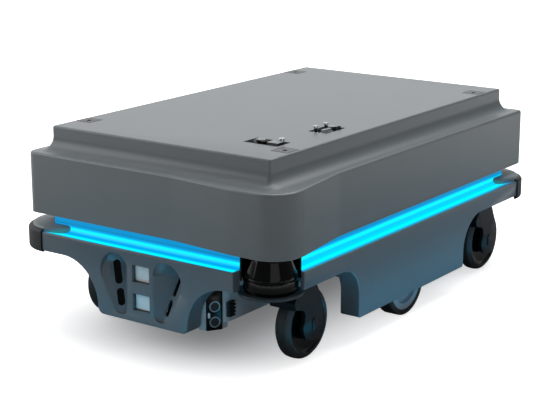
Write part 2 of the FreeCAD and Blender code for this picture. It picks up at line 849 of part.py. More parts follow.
def side_outline(side, inset, open_by=0.0):
    """Side cover in the X-Z plane: skirt over the drive wheel, band over the casters."""
    middle = size("side_middle")
    half = size("side_skirt") / 2 - inset
    bottom = size("skirt_bottom") + inset - open_by
    under = size("side_band_bottom") + inset
    top = size("band_top") + open_by
    scanner = size("side_end_scanner") - inset
    bumper = size("side_end_bumper") - inset
    front, rear = (scanner, -bumper) if side > 0 else (bumper, -scanner)
    small = 0.0 if open_by else size("skirt_corner") / 2
    return loop([(front, top, 0), (rear, top, 0), (rear, under, 2),
                 (middle - half, under, size("side_arch_rear") + inset),
                 (middle - half, bottom, small), (middle + half, bottom, small),
                 (middle + half, under, size("side_arch_front") + inset),
                 (front, under, 2)])


def build_side_covers():
    for side, label in ((1, "side_cover_left"), (-1, "side_cover_right")):
        body = new_body(f"{label}_whole")
        face = "body_width / 2 - bumper_proud"
        offset = f"{-side} * ({face})"
        inner = f"{-side} * ({face} - side_depth)"
        pad(body, "XZ_Plane", side_outline(side, 0.0), "side_depth", offset,
            back=side < 0)
        pocket(body, "XZ_Plane", side_outline(side, size("sheet"), 5.0),
               "side_depth - sheet", inner, back=side < 0)
        notch = size("deck_bottom") + size("deck_sheet") - 0.5
        pocket(body, "XZ_Plane",
               rectangle(-side * size("side_end_bumper"), notch + 25, 20, 50),
               "side_depth - sheet", inner, back=side < 0)
        outer = side * (size("body_width") / 2 - size("bumper_proud"))
        round_edges(body, "edge_radius",
                    lambda edge: edge.BoundBox.YLength < 0.01
                    and abs(edge.BoundBox.YMin - outer) < 0.01)
        rooms = [scanner_room(f"{label}_scanner", "shroud_radius + sheet + 0.6")]
        for name, end, caster_side in CASTERS:
            if caster_side == side:
                along, across = caster_at(end, side)
                rooms.append(rod(f"{label}_{name}", "head_radius + 2", "40",
                                 (along, across, "crown_top - 5")))
        keep(cut(label, body, fused(f"{label}_rooms", rooms)), label)


# ---------------------------------------------------------------- light trough

def trough_section(depth_sign, face, solid):
    """Section of the trough: the curved strip, or the channel that holds it."""
    thick = size("strip_sheet")
    bend = size("trough_bend")
    floor = size("trough_floor")
    top = size("trough_top")
    lip_level = size("band_top") - 0.5
    foot = size("deck_bottom") + size("deck_sheet")

    def point(depth, level, radius=0.0):
        return face - depth_sign * depth, level, radius

    lip = size("sheet") + size("fit")
    back = size("trough_depth")
    hold = back - size("trough_bend") - 1
    if not solid:
        return loop([point(lip, lip_level), point(hold - 3, floor), point(back, floor, bend),
                     point(back, top), point(back + thick, top),
                     point(back + thick, floor - thick, bend + thick),
                     point(hold - 3, floor - thick), point(lip, lip_level - thick)])
    return loop([point(hold, floor - thick), point(hold, foot), point(size("trough_foot"), foot),
                 point(size("trough_foot"), foot + 4), point(back + thick + 4, foot + 4, 3),
                 point(back + thick + 4, top + 3), point(back + thick, top + 3),
                 point(back + thick, floor - thick, bend + thick)])


def cap_outline(inset):
    """Plan of the front right corner cap, set back from the bands beside it."""
    far_x = size("body_length") / 2 - size("bumper_sheet") - inset
    far_y = size("body_width") / 2 - size("bumper_sheet") - inset
    radius = size("bumper_radius") - size("bumper_sheet") - inset
    end_y = size("front_end_bumper")
    end_x = size("side_end_bumper")
    face_x = size("body_length") / 2 - size("bumper_proud")
    face_y = size("body_width") / 2 - size("bumper_proud")
    reach_y = size("cap_reach")
    reach_x = size("cap_reach") + size("body_length") / 2 - size("body_width") / 2
    back_x = face_x - size("trough_foot")
    back_y = face_y - size("trough_foot")
    set_in = size("trough_depth") - 2
    return loop([(far_x, -far_y, radius), (far_x, -end_y, 0),
                 (face_x - set_in, -reach_y, 12), (back_x, -reach_y, 0),
                 (back_x, -back_y, 0), (reach_x, -back_y, 0),
                 (reach_x, -face_y + set_in, 12), (end_x, -far_y, 0)])


def scanner_room(name, radius):
    """Round clearances about both scanners."""
    return fused(name, [rod(f"{name}_{end}", radius, "80",
                            (f"{sign} * scanner_x", f"{sign} * scanner_y",
                             "deck_bottom - 20")) for sign, end in ((1, "fl"), (-1, "rr"))])


def build_trough():
    """Two L-shaped channels, each with its corner cap, and the four light strips."""
    face_x = size("body_length") / 2 - size("bumper_proud")
    face_y = size("body_width") / 2 - size("bumper_proud")
    for sign, ends in ((1, ("front", "right")), (-1, ("rear", "left"))):
        strips = []
        channels = []
        for name, solid in (("strip", False), ("channel", True)):
            long_way = new_body(f"whole_{name}_{ends[1]}")
            pad(long_way, "YZ_Plane", trough_section(-1, -face_y, solid),
                "side_end_bumper + trough_end_side", "0 - trough_end_side")
            short_way = new_body(f"whole_{name}_{ends[0]}")
            pad(short_way, "XZ_Plane", trough_section(1, face_x, solid),
                "front_end_bumper + trough_end_front", "0 - trough_end_front")
            (channels if solid else strips).extend([short_way, long_way])
        cap = new_body(f"corner_cap_{ends[0]}")
        pad(cap, "XY_Plane", cap_outline(0.0), "cap_top - deck_bottom - deck_sheet",
            "deck_bottom + deck_sheet")
        top = size("cap_top")
        outer = (size("body_length") + size("body_width")) / 2 - 2 * size("bumper_end") + 6
        round_edges(cap, "6", lambda edge: edge.BoundBox.ZLength < 0.01
                    and abs(edge.BoundBox.ZMin - top) < 0.01
                    and edge.CenterOfMass.x - edge.CenterOfMass.y > outer)
        room = fused(f"strip_room_{ends[0]}", strips)
        trimmed = cut(f"cap_trimmed_{ends[0]}", cap, room)
        whole = fused(f"channel_and_cap_{ends[0]}", channels + [trimmed])
        clear = scanner_room(f"channel_room_{ends[0]}", "shroud_radius + sheet + 0.6")
        if sign < 0:
            for thing in strips + channels + [cap]:
                thing.Placement = Placement(Vector(), HALF_TURN)
        for thing, label in ((whole, f"light_channel_{ends[0]}_{ends[1]}"),
                             (strips[0], f"light_strip_{ends[0]}"),
                             (strips[1], f"light_strip_{ends[1]}")):
            keep(cut(label, thing, clear), label)


def build_bumpers():
    """Quarter-round rubber bumpers on the two corners without a scanner."""
    half_x = size("body_length") / 2
    half_y = size("body_width") / 2
    radius = size("bumper_radius")
    thick = size("bumper_sheet")
    gap = size("fit")
    slope = math.sqrt(0.5)
    middle = Vector(half_x - radius, -half_y + radius, 0)
    end_y = -size("front_end_bumper") - gap
    end_x = size("side_end_bumper") + gap

    def on_arc(reach):
        return middle + Vector(reach * slope, -reach * slope, 0)

    for sign, label in ((1, "corner_bumper_front_right"), (-1, "corner_bumper_rear_left")):
        body = new_body(label)
        inner = radius - thick
        path = [Vector(half_x, end_y, 0), Vector(half_x, middle.y, 0),
                Vector(middle.x, -half_y, 0), Vector(end_x, -half_y, 0)]
        hollow = [Vector(end_x, -half_y + thick, 0), Vector(middle.x, -half_y + thick, 0),
                  Vector(half_x - thick, middle.y, 0), Vector(half_x - thick, end_y, 0)]
        curves = [Part.Arc(path[1], on_arc(radius), path[2]),
                  Part.Arc(hollow[1], on_arc(inner), hollow[2])]
        for a, b in ((path[0], path[1]), (path[2], path[3]), (path[3], hollow[0]),
                     (hollow[0], hollow[1]), (hollow[2], hollow[3]), (hollow[3], path[0])):
            if (a - b).Length > 1e-6:
                curves.append(Part.LineSegment(a, b))
        pad(body, "XY_Plane", curves, "band_top + 4 - bumper_bottom", "bumper_bottom")

        def on_outline(vertex):
            apart = (Vector(vertex.X, vertex.Y, 0) - middle).Length
            return (abs(vertex.X - half_x) < 0.1 or abs(vertex.Y + half_y) < 0.1
                    or abs(apart - radius) < 0.1)

        def outer_rim(edge):
            level = edge.BoundBox.ZLength < 0.01
            return level and all(on_outline(vertex) for vertex in edge.Vertexes)

        round_edges(body, "6", outer_rim)
        if sign < 0:
            body.Placement = Placement(Vector(), HALF_TURN)
        keep(body, label)


# ---------------------------------------------------------------- laser scanners

def scanner_rotation(sign):
    return HALF_TURN if sign < 0 else Rotation()


def build_scanners():
    """Scanner head with its conical window, the disc under it and the shroud behind."""
    rim = size("scanner_rim")
    top = size("scanner_top")
    base = size("disc_bottom") + size("disc_sheet")
    wide = size("scanner_radius")
    narrow = size("scanner_top_radius")
    head = [(0, base, 0), (wide - 3, base, 0), (wide - 3, base + 3, 0), (wide, base + 4, 0),
            (wide, rim - 4, 0), (wide - 2, rim - 3, 0), (wide - 2, rim - 2, 0),
            (wide, rim, 0), (narrow, top, 3), (0, top, 0)]
    for sign, word in ((1, "front_left"), (-1, "rear_right")):
        body = new_body(f"scanner_turned_{word}")
        turn(body, "XZ_Plane", loop(head), "V_Axis")
        place(body, f"{sign} * scanner_x", f"{sign} * scanner_y", "0")
        arm = new_body(f"scanner_arm_{word}")
        pad(arm, "XY_Plane", rectangle(-32, 0, 36, 30, 3), "24",
            "deck_bottom + deck_sheet")
        place(arm, f"{sign} * scanner_x", f"{sign} * scanner_y", "0",
              Rotation(Vector(0, 0, 1), 45 if sign > 0 else 225))
        end = "caster_front" if sign > 0 else "-caster_rear"
        trims = [rod(f"scallop_{kind}_{word}", "scallop", "40",
                     (end, f"{sign} * caster_track / 2", "crown_top - 5"))
                 for kind in ("head", "disc")]
        keep(cut(f"scanner_head_{word}", fused(f"scanner_whole_{word}", [body, arm]),
                 trims[0]), f"scanner_head_{word}")
        disc = new_body(f"scanner_disc_whole_{word}")
        pad(disc, "XY_Plane", circle(0, 0, size("disc_radius")), "disc_sheet",
            "disc_bottom")
        place(disc, f"{sign} * scanner_x", f"{sign} * scanner_y", "0")
        keep(cut(f"scanner_disc_{word}", disc, trims[1]), f"scanner_disc_{word}")
        build_shroud(sign, word)


def build_shroud(sign, word):
    """Black shell that closes the corner behind a scanner."""
    outer = size("shroud_radius") + size("sheet")
    inner = size("shroud_radius")
    body = new_body(f"scanner_shroud_{word}")
    # the shell spans the half turn towards the middle of the robot
    across = Vector(math.sqrt(0.5), -math.sqrt(0.5), 0)
    inward = Vector(-math.sqrt(0.5), -math.sqrt(0.5), 0)
    curves = [Part.Arc(across * outer, inward * outer, -across * outer),
              Part.LineSegment(-across * outer, -across * inner),
              Part.Arc(-across * inner, inward * inner, across * inner),
              Part.LineSegment(across * inner, across * outer)]
    pad(body, "XY_Plane", curves, "hood_bottom - 6 - deck_bottom - deck_sheet",
        "deck_bottom + deck_sheet")
    slot = [Part.LineSegment(a, b) for a, b in polygon_sides([
        inward * (inner - 10) + across * 16, inward * (outer + 10) + across * 16,
        inward * (outer + 10) - across * 16, inward * (inner - 10) - across * 16])]
    pocket(body, "XY_Plane", slot, "24.5", "deck_bottom + deck_sheet - 0.1", back=True)
    place(body, f"{sign} * scanner_x", f"{sign} * scanner_y", "0",
          scanner_rotation(sign))
    keep(body, f"scanner_shroud_{word}")


def polygon_sides(points):
    return list(zip(points, points[1:] + points[:1]))


# ---------------------------------------------------------------- wheels

def fork_leg_outline():
    """Leg of a caster fork beside the wheel, with its S-shaped leading edge."""
    axle = size("wheel_radius")
    top = size("crown_top")
    ahead = size("caster_trail")
    lead = [(ahead + 26, top, 12), (ahead + 38, axle + 48, 6), (ahead + 30, axle + 38, 8),
            (ahead + 9, axle + 32, 9), (ahead + 5, axle + 18, 14), (ahead + 13, axle, 16),
            (ahead + 5, axle - 20, 16), (ahead - 10, axle - 26, 14)]
    trail = [(-15, axle - 27, 12), (-30, axle - 8, 16), (-31, axle + 16, 18),
             (-20, axle + 42, 14), (-7, top, 6)]
    return loop(lead + trail)


def crown_outline():
    """Crown of the fork in side view, hugging the tyre."""
    axle = size("wheel_radius")
    top = size("crown_top")
    ahead = size("caster_trail")
    hug = axle + 2
    low_front = Vector(hug * math.cos(math.radians(35)),
                       axle + hug * math.sin(math.radians(35)), 0)
    crest = Vector(0, axle + hug, 0)
    low_back = Vector(hug * math.cos(math.radians(95)),
                      axle + hug * math.sin(math.radians(95)), 0)
    front = Vector(ahead + 38, axle + 50, 0)
    shoulder = Vector(ahead + 24, top, 0)
    rear = Vector(low_back.x, top, 0)
    return [Part.Arc(low_back, crest, low_front)] + [
        Part.LineSegment(a, b) for a, b in ((low_front, front), (front, shoulder),
                                            (shoulder, rear), (rear, low_back))]


def build_fork(word, end, side):
    """Fork of a swivel caster with its spindle and axle, built about the axle's foot."""
    label = f"caster_fork_{word}"
    body = new_body(label)
    half = size("wheel_width") / 2 + size("fork_gap")
    outer = half + size("fork_leg")
    pad(body, "XZ_Plane", crown_outline(), f"{2 * outer}", f"{-outer}")
    for place_at in (-outer, half):
        pad(body, "XZ_Plane", fork_leg_outline(), "fork_leg", f"{place_at}")
    pad(body, "XZ_Plane", circle(0, size("wheel_radius"), size("caster_axle")),
        f"{2 * outer}", f"{-outer}")
    boss = [(-7, 16), (7, 16)]
    for place_at in (-outer - 1.5, outer):
        axle = size("wheel_radius")
        oval = loop([(x, axle + z, 6.9) for x, z in ((-7, -12), (7, -12), (7, 12), (-7, 12))])
        pad(body, "XZ_Plane", oval, "1.5", f"{place_at}")
    pad(body, "XY_Plane", circle(size("caster_trail"), 0, size("spindle_radius")),
        "spindle_length + 2", "crown_top - 2")
    along, across = caster_at(end, side)
    place(body, f"{along} - caster_trail", across, "0")
    keep(body, label)


def build_caster_wheel(word, end, side):
    """Core and tyre of a caster wheel, turned about the axle."""
    radius = size("wheel_radius")
    core = size("caster_core")
    half = size("wheel_width") / 2
    bore = size("caster_axle") + size("shaft_fit")
    along, across = caster_at(end, side)
    for kind in ("caster_core", "caster_tyre"):
        body = new_body(f"{kind}_{word}")
        if kind == "caster_core":
            section = [(bore, -half + 0.5, 0), (18, -half + 0.5, 0), (24, -half + 3, 4),
                       (core - 6, -half + 3, 3), (core, -half + 1, 0), (core, half - 1, 0),
                       (core - 6, half - 3, 3), (24, half - 3, 4), (18, half - 0.5, 0),
                       (bore, half - 0.5, 0)]
        else:
            section = [(core, -half, 1), (radius - 8, -half, 4), (radius - 1.5, -half + 6, 5),
                       (radius, 0, 40), (radius - 1.5, half - 6, 5), (radius - 8, half, 4),
                       (core, half, 1)]
        turn(body, "XY_Plane", loop(section), "V_Axis")
        place(body, f"{along} - caster_trail", across, "wheel_radius")
        keep(body, f"{kind}_{word}")


def build_drive(word, side):
    """Gearmotor with its offset gearbox, and the drive wheel on its output shaft."""
    turned = TO_LEFT if side > 0 else TO_RIGHT
    gearbox = new_body(f"gearbox_{word}")
    wide = "drive_track / 2 - wheel_width / 2 - 4 - tray_width / 2"
    middle = size("drive_x")
    low = 52.0
    high = size("motor_height") + size("motor_radius") + 4
    offset = "0 - tray_width / 2" if side > 0 else "tray_width / 2"
    pad(gearbox, "XZ_Plane", loop([(middle - 30, low, 12), (middle + 30, low, 12),
                                   (middle + 38, high, 16), (middle - 38, high, 16)]),
        wide, offset, back=side > 0)
    motor = rod(f"motor_{word}", "motor_radius", "motor_length + 2",
                ("drive_x", f"{side} * (tray_width / 2 - motor_length)", "motor_height"),
                turned)
    shaft = rod(f"shaft_{word}", "drive_shaft", "wheel_width + 8",
                ("drive_x", f"{side} * (drive_track / 2 - wheel_width / 2 - 6)",
                 "wheel_radius"), turned)
    keep(fused(f"drive_motor_{word}", [gearbox, motor, shaft]), f"drive_motor_{word}")
    radius = size("wheel_radius")
    rim = size("rim_radius")
    half = size("wheel_width") / 2
    bore = size("drive_shaft") + size("shaft_fit")
    for kind in ("drive_rim", "drive_tyre"):
        body = new_body(f"{kind}_{word}")
        if kind == "drive_rim":
            section = [(bore, -half + 2, 0), (20, -half + 2, 2), (20, -6, 4), (rim - 11, -6, 4),
                       (rim - 11, -half + 1, 1), (rim, -half + 1, 0), (rim, half - 1, 0),
                       (rim - 11, half - 1, 1), (rim - 11, 6, 4), (20, 6, 4),
                       (20, half - 3, 2), (bore, half - 3, 0)]
        else:
            section = [(rim, -half, 1), (radius, -half, 3), (radius, half, 3), (rim, half, 1)]
        turn(body, "XY_Plane", loop(section), "V_Axis")
        place(body, "drive_x", f"{side} * drive_track / 2", "wheel_radius")
        keep(body, f"{kind}_{word}")


# ---------------------------------------------------------------- controls and sockets

def panel_line(behind):
    """Foot of the control panel in plan, from its rear end to its front end."""
    half_x = size("body_length") / 2
    half_y = size("body_width") / 2
    start = Vector(half_x - size("panel_rear_inset_x"), half_y - size("panel_rear_inset_y"), 0)
    end = Vector(half_x - size("panel_front_inset_x"), half_y - size("panel_front_inset_y"), 0)
    along = end - start
    along.normalize()
    outward = Vector(-along.y, along.x, 0)
    if outward.x < 0:
        outward = -outward
    return start - outward * behind, end - outward * behind


def panel_turn():
    """Rotation whose X is along the panel, Y its outward normal and Z up."""
    start, end = panel_line(0)
    along = end - start
    return Rotation(Vector(0, 0, 1), math.degrees(math.atan2(along.y, along.x)))


def build_panel():
    """Black control panel with two ringed push buttons and an indicator lamp."""
    start, end = panel_line(0)
    length = (end - start).Length
    turned = panel_turn()
    middle = 14.5
    plate = new_body("panel_plate")
    pad(plate, "XZ_Plane", rectangle(length / 2, size("panel_height") / 2, length - 1,
                                     size("panel_height") - 2, 1.5),
        "panel_sheet", "0")
    levels = {"start": "ring_upper - panel_bottom", "reset": "ring_lower - panel_bottom"}
    for level in levels.values():
        low = [part.strip() for part in level.split("-")]
        height = size(low[0]) - size(low[1])
        pad(plate, "XZ_Plane", circle(middle, height, size("ring_radius")), "1.6",
            "0 - 1.6")
    for level in levels.values():
        low = [part.strip() for part in level.split("-")]
        height = size(low[0]) - size(low[1])
        pocket(plate, "XZ_Plane", circle(middle, height, size("cap_radius") + 0.3), "5.4",
               "0 - 2.7", back=True)
    # XZ sketches face -Y, so the plate is turned about its upright to face outward
    for thing in (plate,):
        thing.Placement = Placement(Vector(start.x, start.y, size("panel_bottom")), turned)
    keep(plate, "control_panel")
    for name, level in levels.items():
        low = [part.strip() for part in level.split("-")]
        height = size(low[0]) - size(low[1])
        body = new_body(f"panel_button_{name}")
        pad(body, "XZ_Plane", circle(middle, height, size("cap_radius")), "2.6", "0 - 2.2")
        body.Placement = Placement(Vector(start.x, start.y, size("panel_bottom")), turned)
        keep(body, f"panel_button_{name}")
    lamp = new_body("panel_lamp")
    pad(lamp, "XZ_Plane", rectangle(length - 4.3, 28, 3.8, 9.4, 1.8), "1.2", "0 - 1.2")
    lamp.Placement = Placement(Vector(start.x, start.y, size("panel_bottom")), turned)
    keep(lamp, "panel_lamp")


def build_socket():
    """Charge socket on the tray's side, with a comb of contact slots."""
    body = new_body("charge_socket")
    wide = size("socket_width")
    high = size("socket_height")
    middle = size("tray_length") / 2 - size("socket_inset")
    centre = size("socket_level")
    pad(body, "XZ_Plane", rectangle(middle, centre, wide, high, 1), "6",
        "0 - tray_width / 2 - 6")
    for number in range(4):
        level = centre - high / 2 + high * (number + 0.5) / 4
        pocket(body, "XZ_Plane", rectangle(middle - 3, level, wide - 2, 2.6), "4",
               "0 - tray_width / 2 - 6", back=True)
    keep(body, "charge_socket")


def build_interfaces():
    """Connector panels below the two cut-outs of the hood, on legs from the deck."""
    level = "deck_top - hood_wall - window_sink"
    base = "deck_bottom + deck_sheet"
    plate = box("plate_a", ("window_a_x - window_wide / 2 - 6",
                            "window_a_y - window_long / 2 - 6", level + " - 2"),
                ("window_wide + 12", "window_long + 12", "2"))
    leg = box("leg_a", ("window_a_x - 20", "window_a_y - 12", base),
              ("24", "24", f"{level} - 2 - ({base})"))
    screw = rod("screw_a", "3.5", "window_sink + hood_wall + 6",
                ("window_a_x - 12", "window_a_y + 22", level))
    knob = rod("knob_a", "5", "4.5", ("window_a_x - 12", "window_a_y + 22",
                                      "deck_top + 3"))
    block = box("ribbed_a", ("window_a_x - 8", "window_a_y + 8", level),
                ("20", "22", "window_sink + hood_wall + 3"))
    keep(fused("interface_panel_front", [plate, leg, screw, knob, block]),
         "interface_panel_front")
    socket = new_body("round_connector")
    turn(socket, "XZ_Plane", loop([(0, 0, 0), (12.5, 0, 0), (12.5, 9, 1), (11, 12, 2),
                                   (8, 14.5, 4), (0, 15, 0)]), "V_Axis")
    place(socket, "window_a_x + 2", "window_a_y - 11", level)
    keep(socket, "round_connector")

    plate = box("plate_b", ("window_b_x - window_b_long / 2 - 6",
                            "window_b_y - window_b_wide / 2 - 6", level + " - 2"),
                ("window_b_long + 12", "window_b_wide + 12", "2"))
    leg = box("leg_b", ("window_b_x - 12", "window_b_y - 12", base),
              ("24", "24", f"{level} - 2 - ({base})"))
    pieces = [plate, leg]
    for number, (x, y) in enumerate(((20, -10), (-12, -10))):
        pieces.append(rod(f"jack_{number}", "2.5", "window_sink + hood_wall + 6",
                          (f"window_b_x + {x}", f"window_b_y + {y}", level)))
        pieces.append(rod(f"jack_head_{number}", "4.5", "4",
                          (f"window_b_x + {x}", f"window_b_y + {y}", "deck_top + 5")))
    pieces.append(rod("tip_b", "3", "window_sink + hood_wall + 5",
                      ("window_b_x - 20", "window_b_y + 12", level)))
    pieces.append(rod("dome_b", "8", "window_sink + hood_wall + 3",
                      ("window_b_x - 18", "window_b_y - 2", level)))
    keep(fused("interface_panel_rear", pieces), "interface_panel_rear")
    plug = new_body("ribbed_connector")
    pad(plug, "XY_Plane", rectangle(0, 0, 30, 11, 3), "8")
    pad(plug, "XY_Plane", rectangle(0, 0, 24, 7, 2), "13")
    place(plug, "window_b_x + 8", "window_b_y + 4", level)
    keep(plug, "ribbed_connector")


# ---------------------------------------------------------------- assembly

build_hood()
build_tray()
build_deck()
build_posts()
build_inside()
build_front_cover()
build_rear_cover()
build_release_buttons()
build_side_covers()
build_trough()
build_bumpers()
build_scanners()
for word, end, side in CASTERS:
    build_fork(word, end, side)
    build_caster_wheel(word, end, side)
for side, word in ((1, "left"), (-1, "right")):
    build_drive(word, side)
build_panel()
build_socket()
build_interfaces()
doc.recompute()

for thing in doc.Objects:
    faults = {"Invalid", "Error"} & set(thing.State)
    if faults:
        raise RuntimeError(f"{thing.Label} failed: {thing.State}")

os.makedirs("parts", exist_ok=True)
for thing in nodes:
    shape = thing.Shape
    if shape.isNull() or not shape.isValid() or not shape.Solids:
        raise RuntimeError(f"{thing.Label} has no valid solid")
    shape.exportStep(f"parts/{thing.Label}.step")
    limits = shape.BoundBox
    print(f"{thing.Label}: {len(shape.Solids)} solid, {len(shape.Faces)} faces, "
          f"x {limits.XMin:.1f}..{limits.XMax:.1f}, y {limits.YMin:.1f}..{limits.YMax:.1f}, "
          f"z {limits.ZMin:.1f}..{limits.ZMax:.1f}")
print(f"{len(nodes)} pieces")
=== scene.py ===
import json
import math

import bmesh
import bpy
from mathutils import Matrix, Vector


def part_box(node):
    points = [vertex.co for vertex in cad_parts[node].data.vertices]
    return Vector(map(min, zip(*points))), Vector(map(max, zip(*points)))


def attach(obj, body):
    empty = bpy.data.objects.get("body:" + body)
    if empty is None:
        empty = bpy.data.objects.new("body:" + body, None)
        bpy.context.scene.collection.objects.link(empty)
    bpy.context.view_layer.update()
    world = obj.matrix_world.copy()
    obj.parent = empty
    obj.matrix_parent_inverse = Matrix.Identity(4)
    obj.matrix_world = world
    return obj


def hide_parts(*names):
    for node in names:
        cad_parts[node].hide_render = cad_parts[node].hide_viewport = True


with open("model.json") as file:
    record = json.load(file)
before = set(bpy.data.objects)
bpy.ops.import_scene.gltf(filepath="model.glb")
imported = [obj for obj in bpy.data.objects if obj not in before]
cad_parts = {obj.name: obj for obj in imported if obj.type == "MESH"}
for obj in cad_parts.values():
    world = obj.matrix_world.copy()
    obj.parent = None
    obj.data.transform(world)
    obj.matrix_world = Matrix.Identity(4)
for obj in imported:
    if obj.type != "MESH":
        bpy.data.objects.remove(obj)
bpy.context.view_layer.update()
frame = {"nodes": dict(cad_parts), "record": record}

bl_info = {
    "name": "Mobile Robot Dressing",
    "version": (1, 0, 0),
    "blender": (4, 5, 0),
    "location": "View3D > Sidebar > Robot",
    "description": "Finishes, small parts and studio for a low autonomous mobile robot",
    "category": "Object",
}

MM = 0.001
ENDS = ("front", "rear")
SIDES = ("left", "right")
CORNERS = ("front_left", "front_right", "rear_left", "rear_right")
SCANNER_CORNERS = ("front_left", "rear_right")
BUMPER_CORNERS = ("front_right", "rear_left")
BODY_OF = {node: body for body, nodes in frame["record"]["behaviour"]["bodies"].items()
           for node in nodes}

# how a copy of a CAD mesh is cleaned, shaded and eased
SAME_CORNER = 0.02 * MM  # corners closer than this are one
SLIVER = 0.01 * MM  # edges shorter than this go
CREASE = 32  # degrees between faces from which the shading breaks
EASED_FROM = 50  # degrees between faces from which an edge is rounded

# places that tell apart the faces of one node, millimetres from the floor or a centre
BORE_RADIUS = 5.0  # holds the tapped hole of a post
BORE_DEPTH = 0.05  # below the top of the post
PANEL_RING = (7.7, 10.4)  # steel ring round each button of the control panel
LID_LEVELS = (354.5, 357.1)  # flat lids of the connectors
FLAT = 0.9  # upward part of the normal of a face that lies flat
KNOB_LEVEL = 355.2  # heads that stand over the front connectors
JACK_LEVEL = 357.2  # jack screws that stand over the rear connectors

# dark square ring that shows round each post top, millimetres
RING_HALF = 17.2  # half a side of its outer square
RING_WIDTH = 2.2
RING_THICKNESS = 0.3
RING_STAND = 0.05  # above the post top

# floor and air of the studio, in metres where it is a length
FLOOR_HALF = 12.0
FOOTPRINT = (0.30, 0.03, 0.0)  # half sides of the core of the painted shadow under the robot
SHADOW_REACH = 0.35
SHADOW_CORE = 0.15  # glow of the paper within the footprint, where the painted shadow is darkest
MIRRORED_FROM, MIRRORED_TO = 0.4, 2.4  # how far out mirrors begin to see white paper
BACKDROP_WAY = (-0.48, -0.84, 0.26)
BACKDROP_EDGE = 0.45  # cosine of the angle from its middle at which it fades out
BACKDROP_MIRRORED = 0.95  # cosine within which mirrors see it fully white

# cyan strips on the floor, which light the covers as the trough's glow does
GLOW = "#00CFFF"
GLOW_SPREAD = 90.0
FRONT_SHARE = 0.3  # of the left strip's power

CAMERA_PLACE = (2.1872, 1.5277, 0.8564)  # metres
CAMERA_TURN = math.radians(125.371)  # about Z from a look along +Y
CAMERA_LIFT = math.radians(14.828)  # above the horizon
SENSOR = 36.0  # millimetres
VIEW_END = 50.0  # metres


# ------------------------------------------------------------------ small tools

def linear(code):
    """A hex sRGB colour as a linear RGBA tuple."""
    values = [int(code[place:place + 2], 16) / 255 for place in (1, 3, 5)]
    turned = [v / 12.92 if v <= 0.04045 else ((v + 0.055) / 1.055) ** 2.4 for v in values]
    return (*turned, 1.0)


def add_node(tree, kind, links=None, **settings):
    """Add a node with its settings, and fill or link its inputs."""
    node = tree.nodes.new(kind)
    for name, value in settings.items():
        setattr(node, name, value)
    for name, source in (links or {}).items():
        if isinstance(source, bpy.types.NodeSocket):
            tree.links.new(source, node.inputs[name])
        else:
            node.inputs[name].default_value = source
    return node


def new_material(name):
    """An empty node material with its output."""
    material = bpy.data.materials.new(name)
    material.use_nodes = True
    tree = material.node_tree
    tree.nodes.clear()
    return material, tree, add_node(tree, "ShaderNodeOutputMaterial")


def finish_mesh(mesh, material, angle):
    """Give a mesh its material, and smooth it up to an angle."""
    mesh.materials.clear()
    mesh.materials.append(material)
    mesh.shade_smooth()
    mesh.set_sharp_from_angle(angle=math.radians(angle))


def piece(name, bm, material, body, angle=CREASE, replaces=()):
    """Turn a bmesh into a finished piece that rides on a body."""
    mesh = bpy.data.meshes.new(name)
    bm.to_mesh(mesh)
    bm.free()
    thing = bpy.data.objects.new(name, mesh)
    bpy.context.scene.collection.objects.link(thing)
    finish_mesh(mesh, material, angle)
    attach(thing, body)
    if replaces:
        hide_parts(*replaces)
    return thing


def smooth_copy(node, name, material, edge=0.0, angle=CREASE, accents=()):
    """A merged, smooth copy of a CAD node, with its sharp edges eased.

    Accents are pairs of a finish and a test of a face's centre and normal in
    millimetres, for insets and heads that the real piece has in another material.
    """
    bm = bmesh.new()
    bm.from_mesh(frame["nodes"][node].data)
    bmesh.ops.remove_doubles(bm, verts=bm.verts, dist=SAME_CORNER)
    bmesh.ops.dissolve_degenerate(bm, edges=bm.edges, dist=SLIVER)
    thing = piece(name, bm, material, BODY_OF[node], angle, (node,))
    for number, (finish, chosen) in enumerate(accents, 1):
        thing.data.materials.append(finish)
        for face in thing.data.polygons:
            if chosen(face.center / MM, face.normal):
                face.material_index = number
    if edge:
        bevel = thing.modifiers.new("eased edges", "BEVEL")
        bevel.width = edge
        bevel.segments = 2
        bevel.limit_method = "ANGLE"
        bevel.angle_limit = math.radians(EASED_FROM)
        bevel.harden_normals = True
    return thing


def paint(node, material):
    """Put a material on a CAD node whose shape stays."""
    thing = frame["nodes"][node]
    thing.data.materials.clear()
    thing.data.materials.append(material)


def middle_and_top(node):
    """The centre of a CAD node's box and the height of its top."""
    low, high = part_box(node)
    return (Vector(low) + Vector(high)) / 2, high[2]


def in_bore(node):
    """A test for the faces inside the tapped hole of a post, which are given a black finish as
    painted shade.
    """
    middle, top = middle_and_top(node)

    def chosen(centre, normal):
        near = math.hypot(centre.x - middle.x / MM, centre.y - middle.y / MM) < BORE_RADIUS
        return near and centre.z < top / MM - BORE_DEPTH

    return chosen


def dark_square_ring(node):
    """A flat square ring that lies round the top of a post."""
    middle, top = middle_and_top(node)
    bm = bmesh.new()
    bmesh.ops.create_grid(bm, x_segments=1, y_segments=1, size=RING_HALF * MM)
    ring = bmesh.ops.inset_region(bm, faces=bm.faces[:], thickness=RING_WIDTH * MM,
                                  use_boundary=True)
    inner = [face for face in bm.faces if face not in set(ring["faces"])]
    bmesh.ops.delete(bm, geom=inner, context="FACES")
    bmesh.ops.solidify(bm, geom=bm.faces[:], thickness=RING_THICKNESS * MM)
    bmesh.ops.translate(bm, vec=(middle.x, middle.y, top + RING_STAND * MM), verts=bm.verts)
    return bm


# ------------------------------------------------------------------ finishes

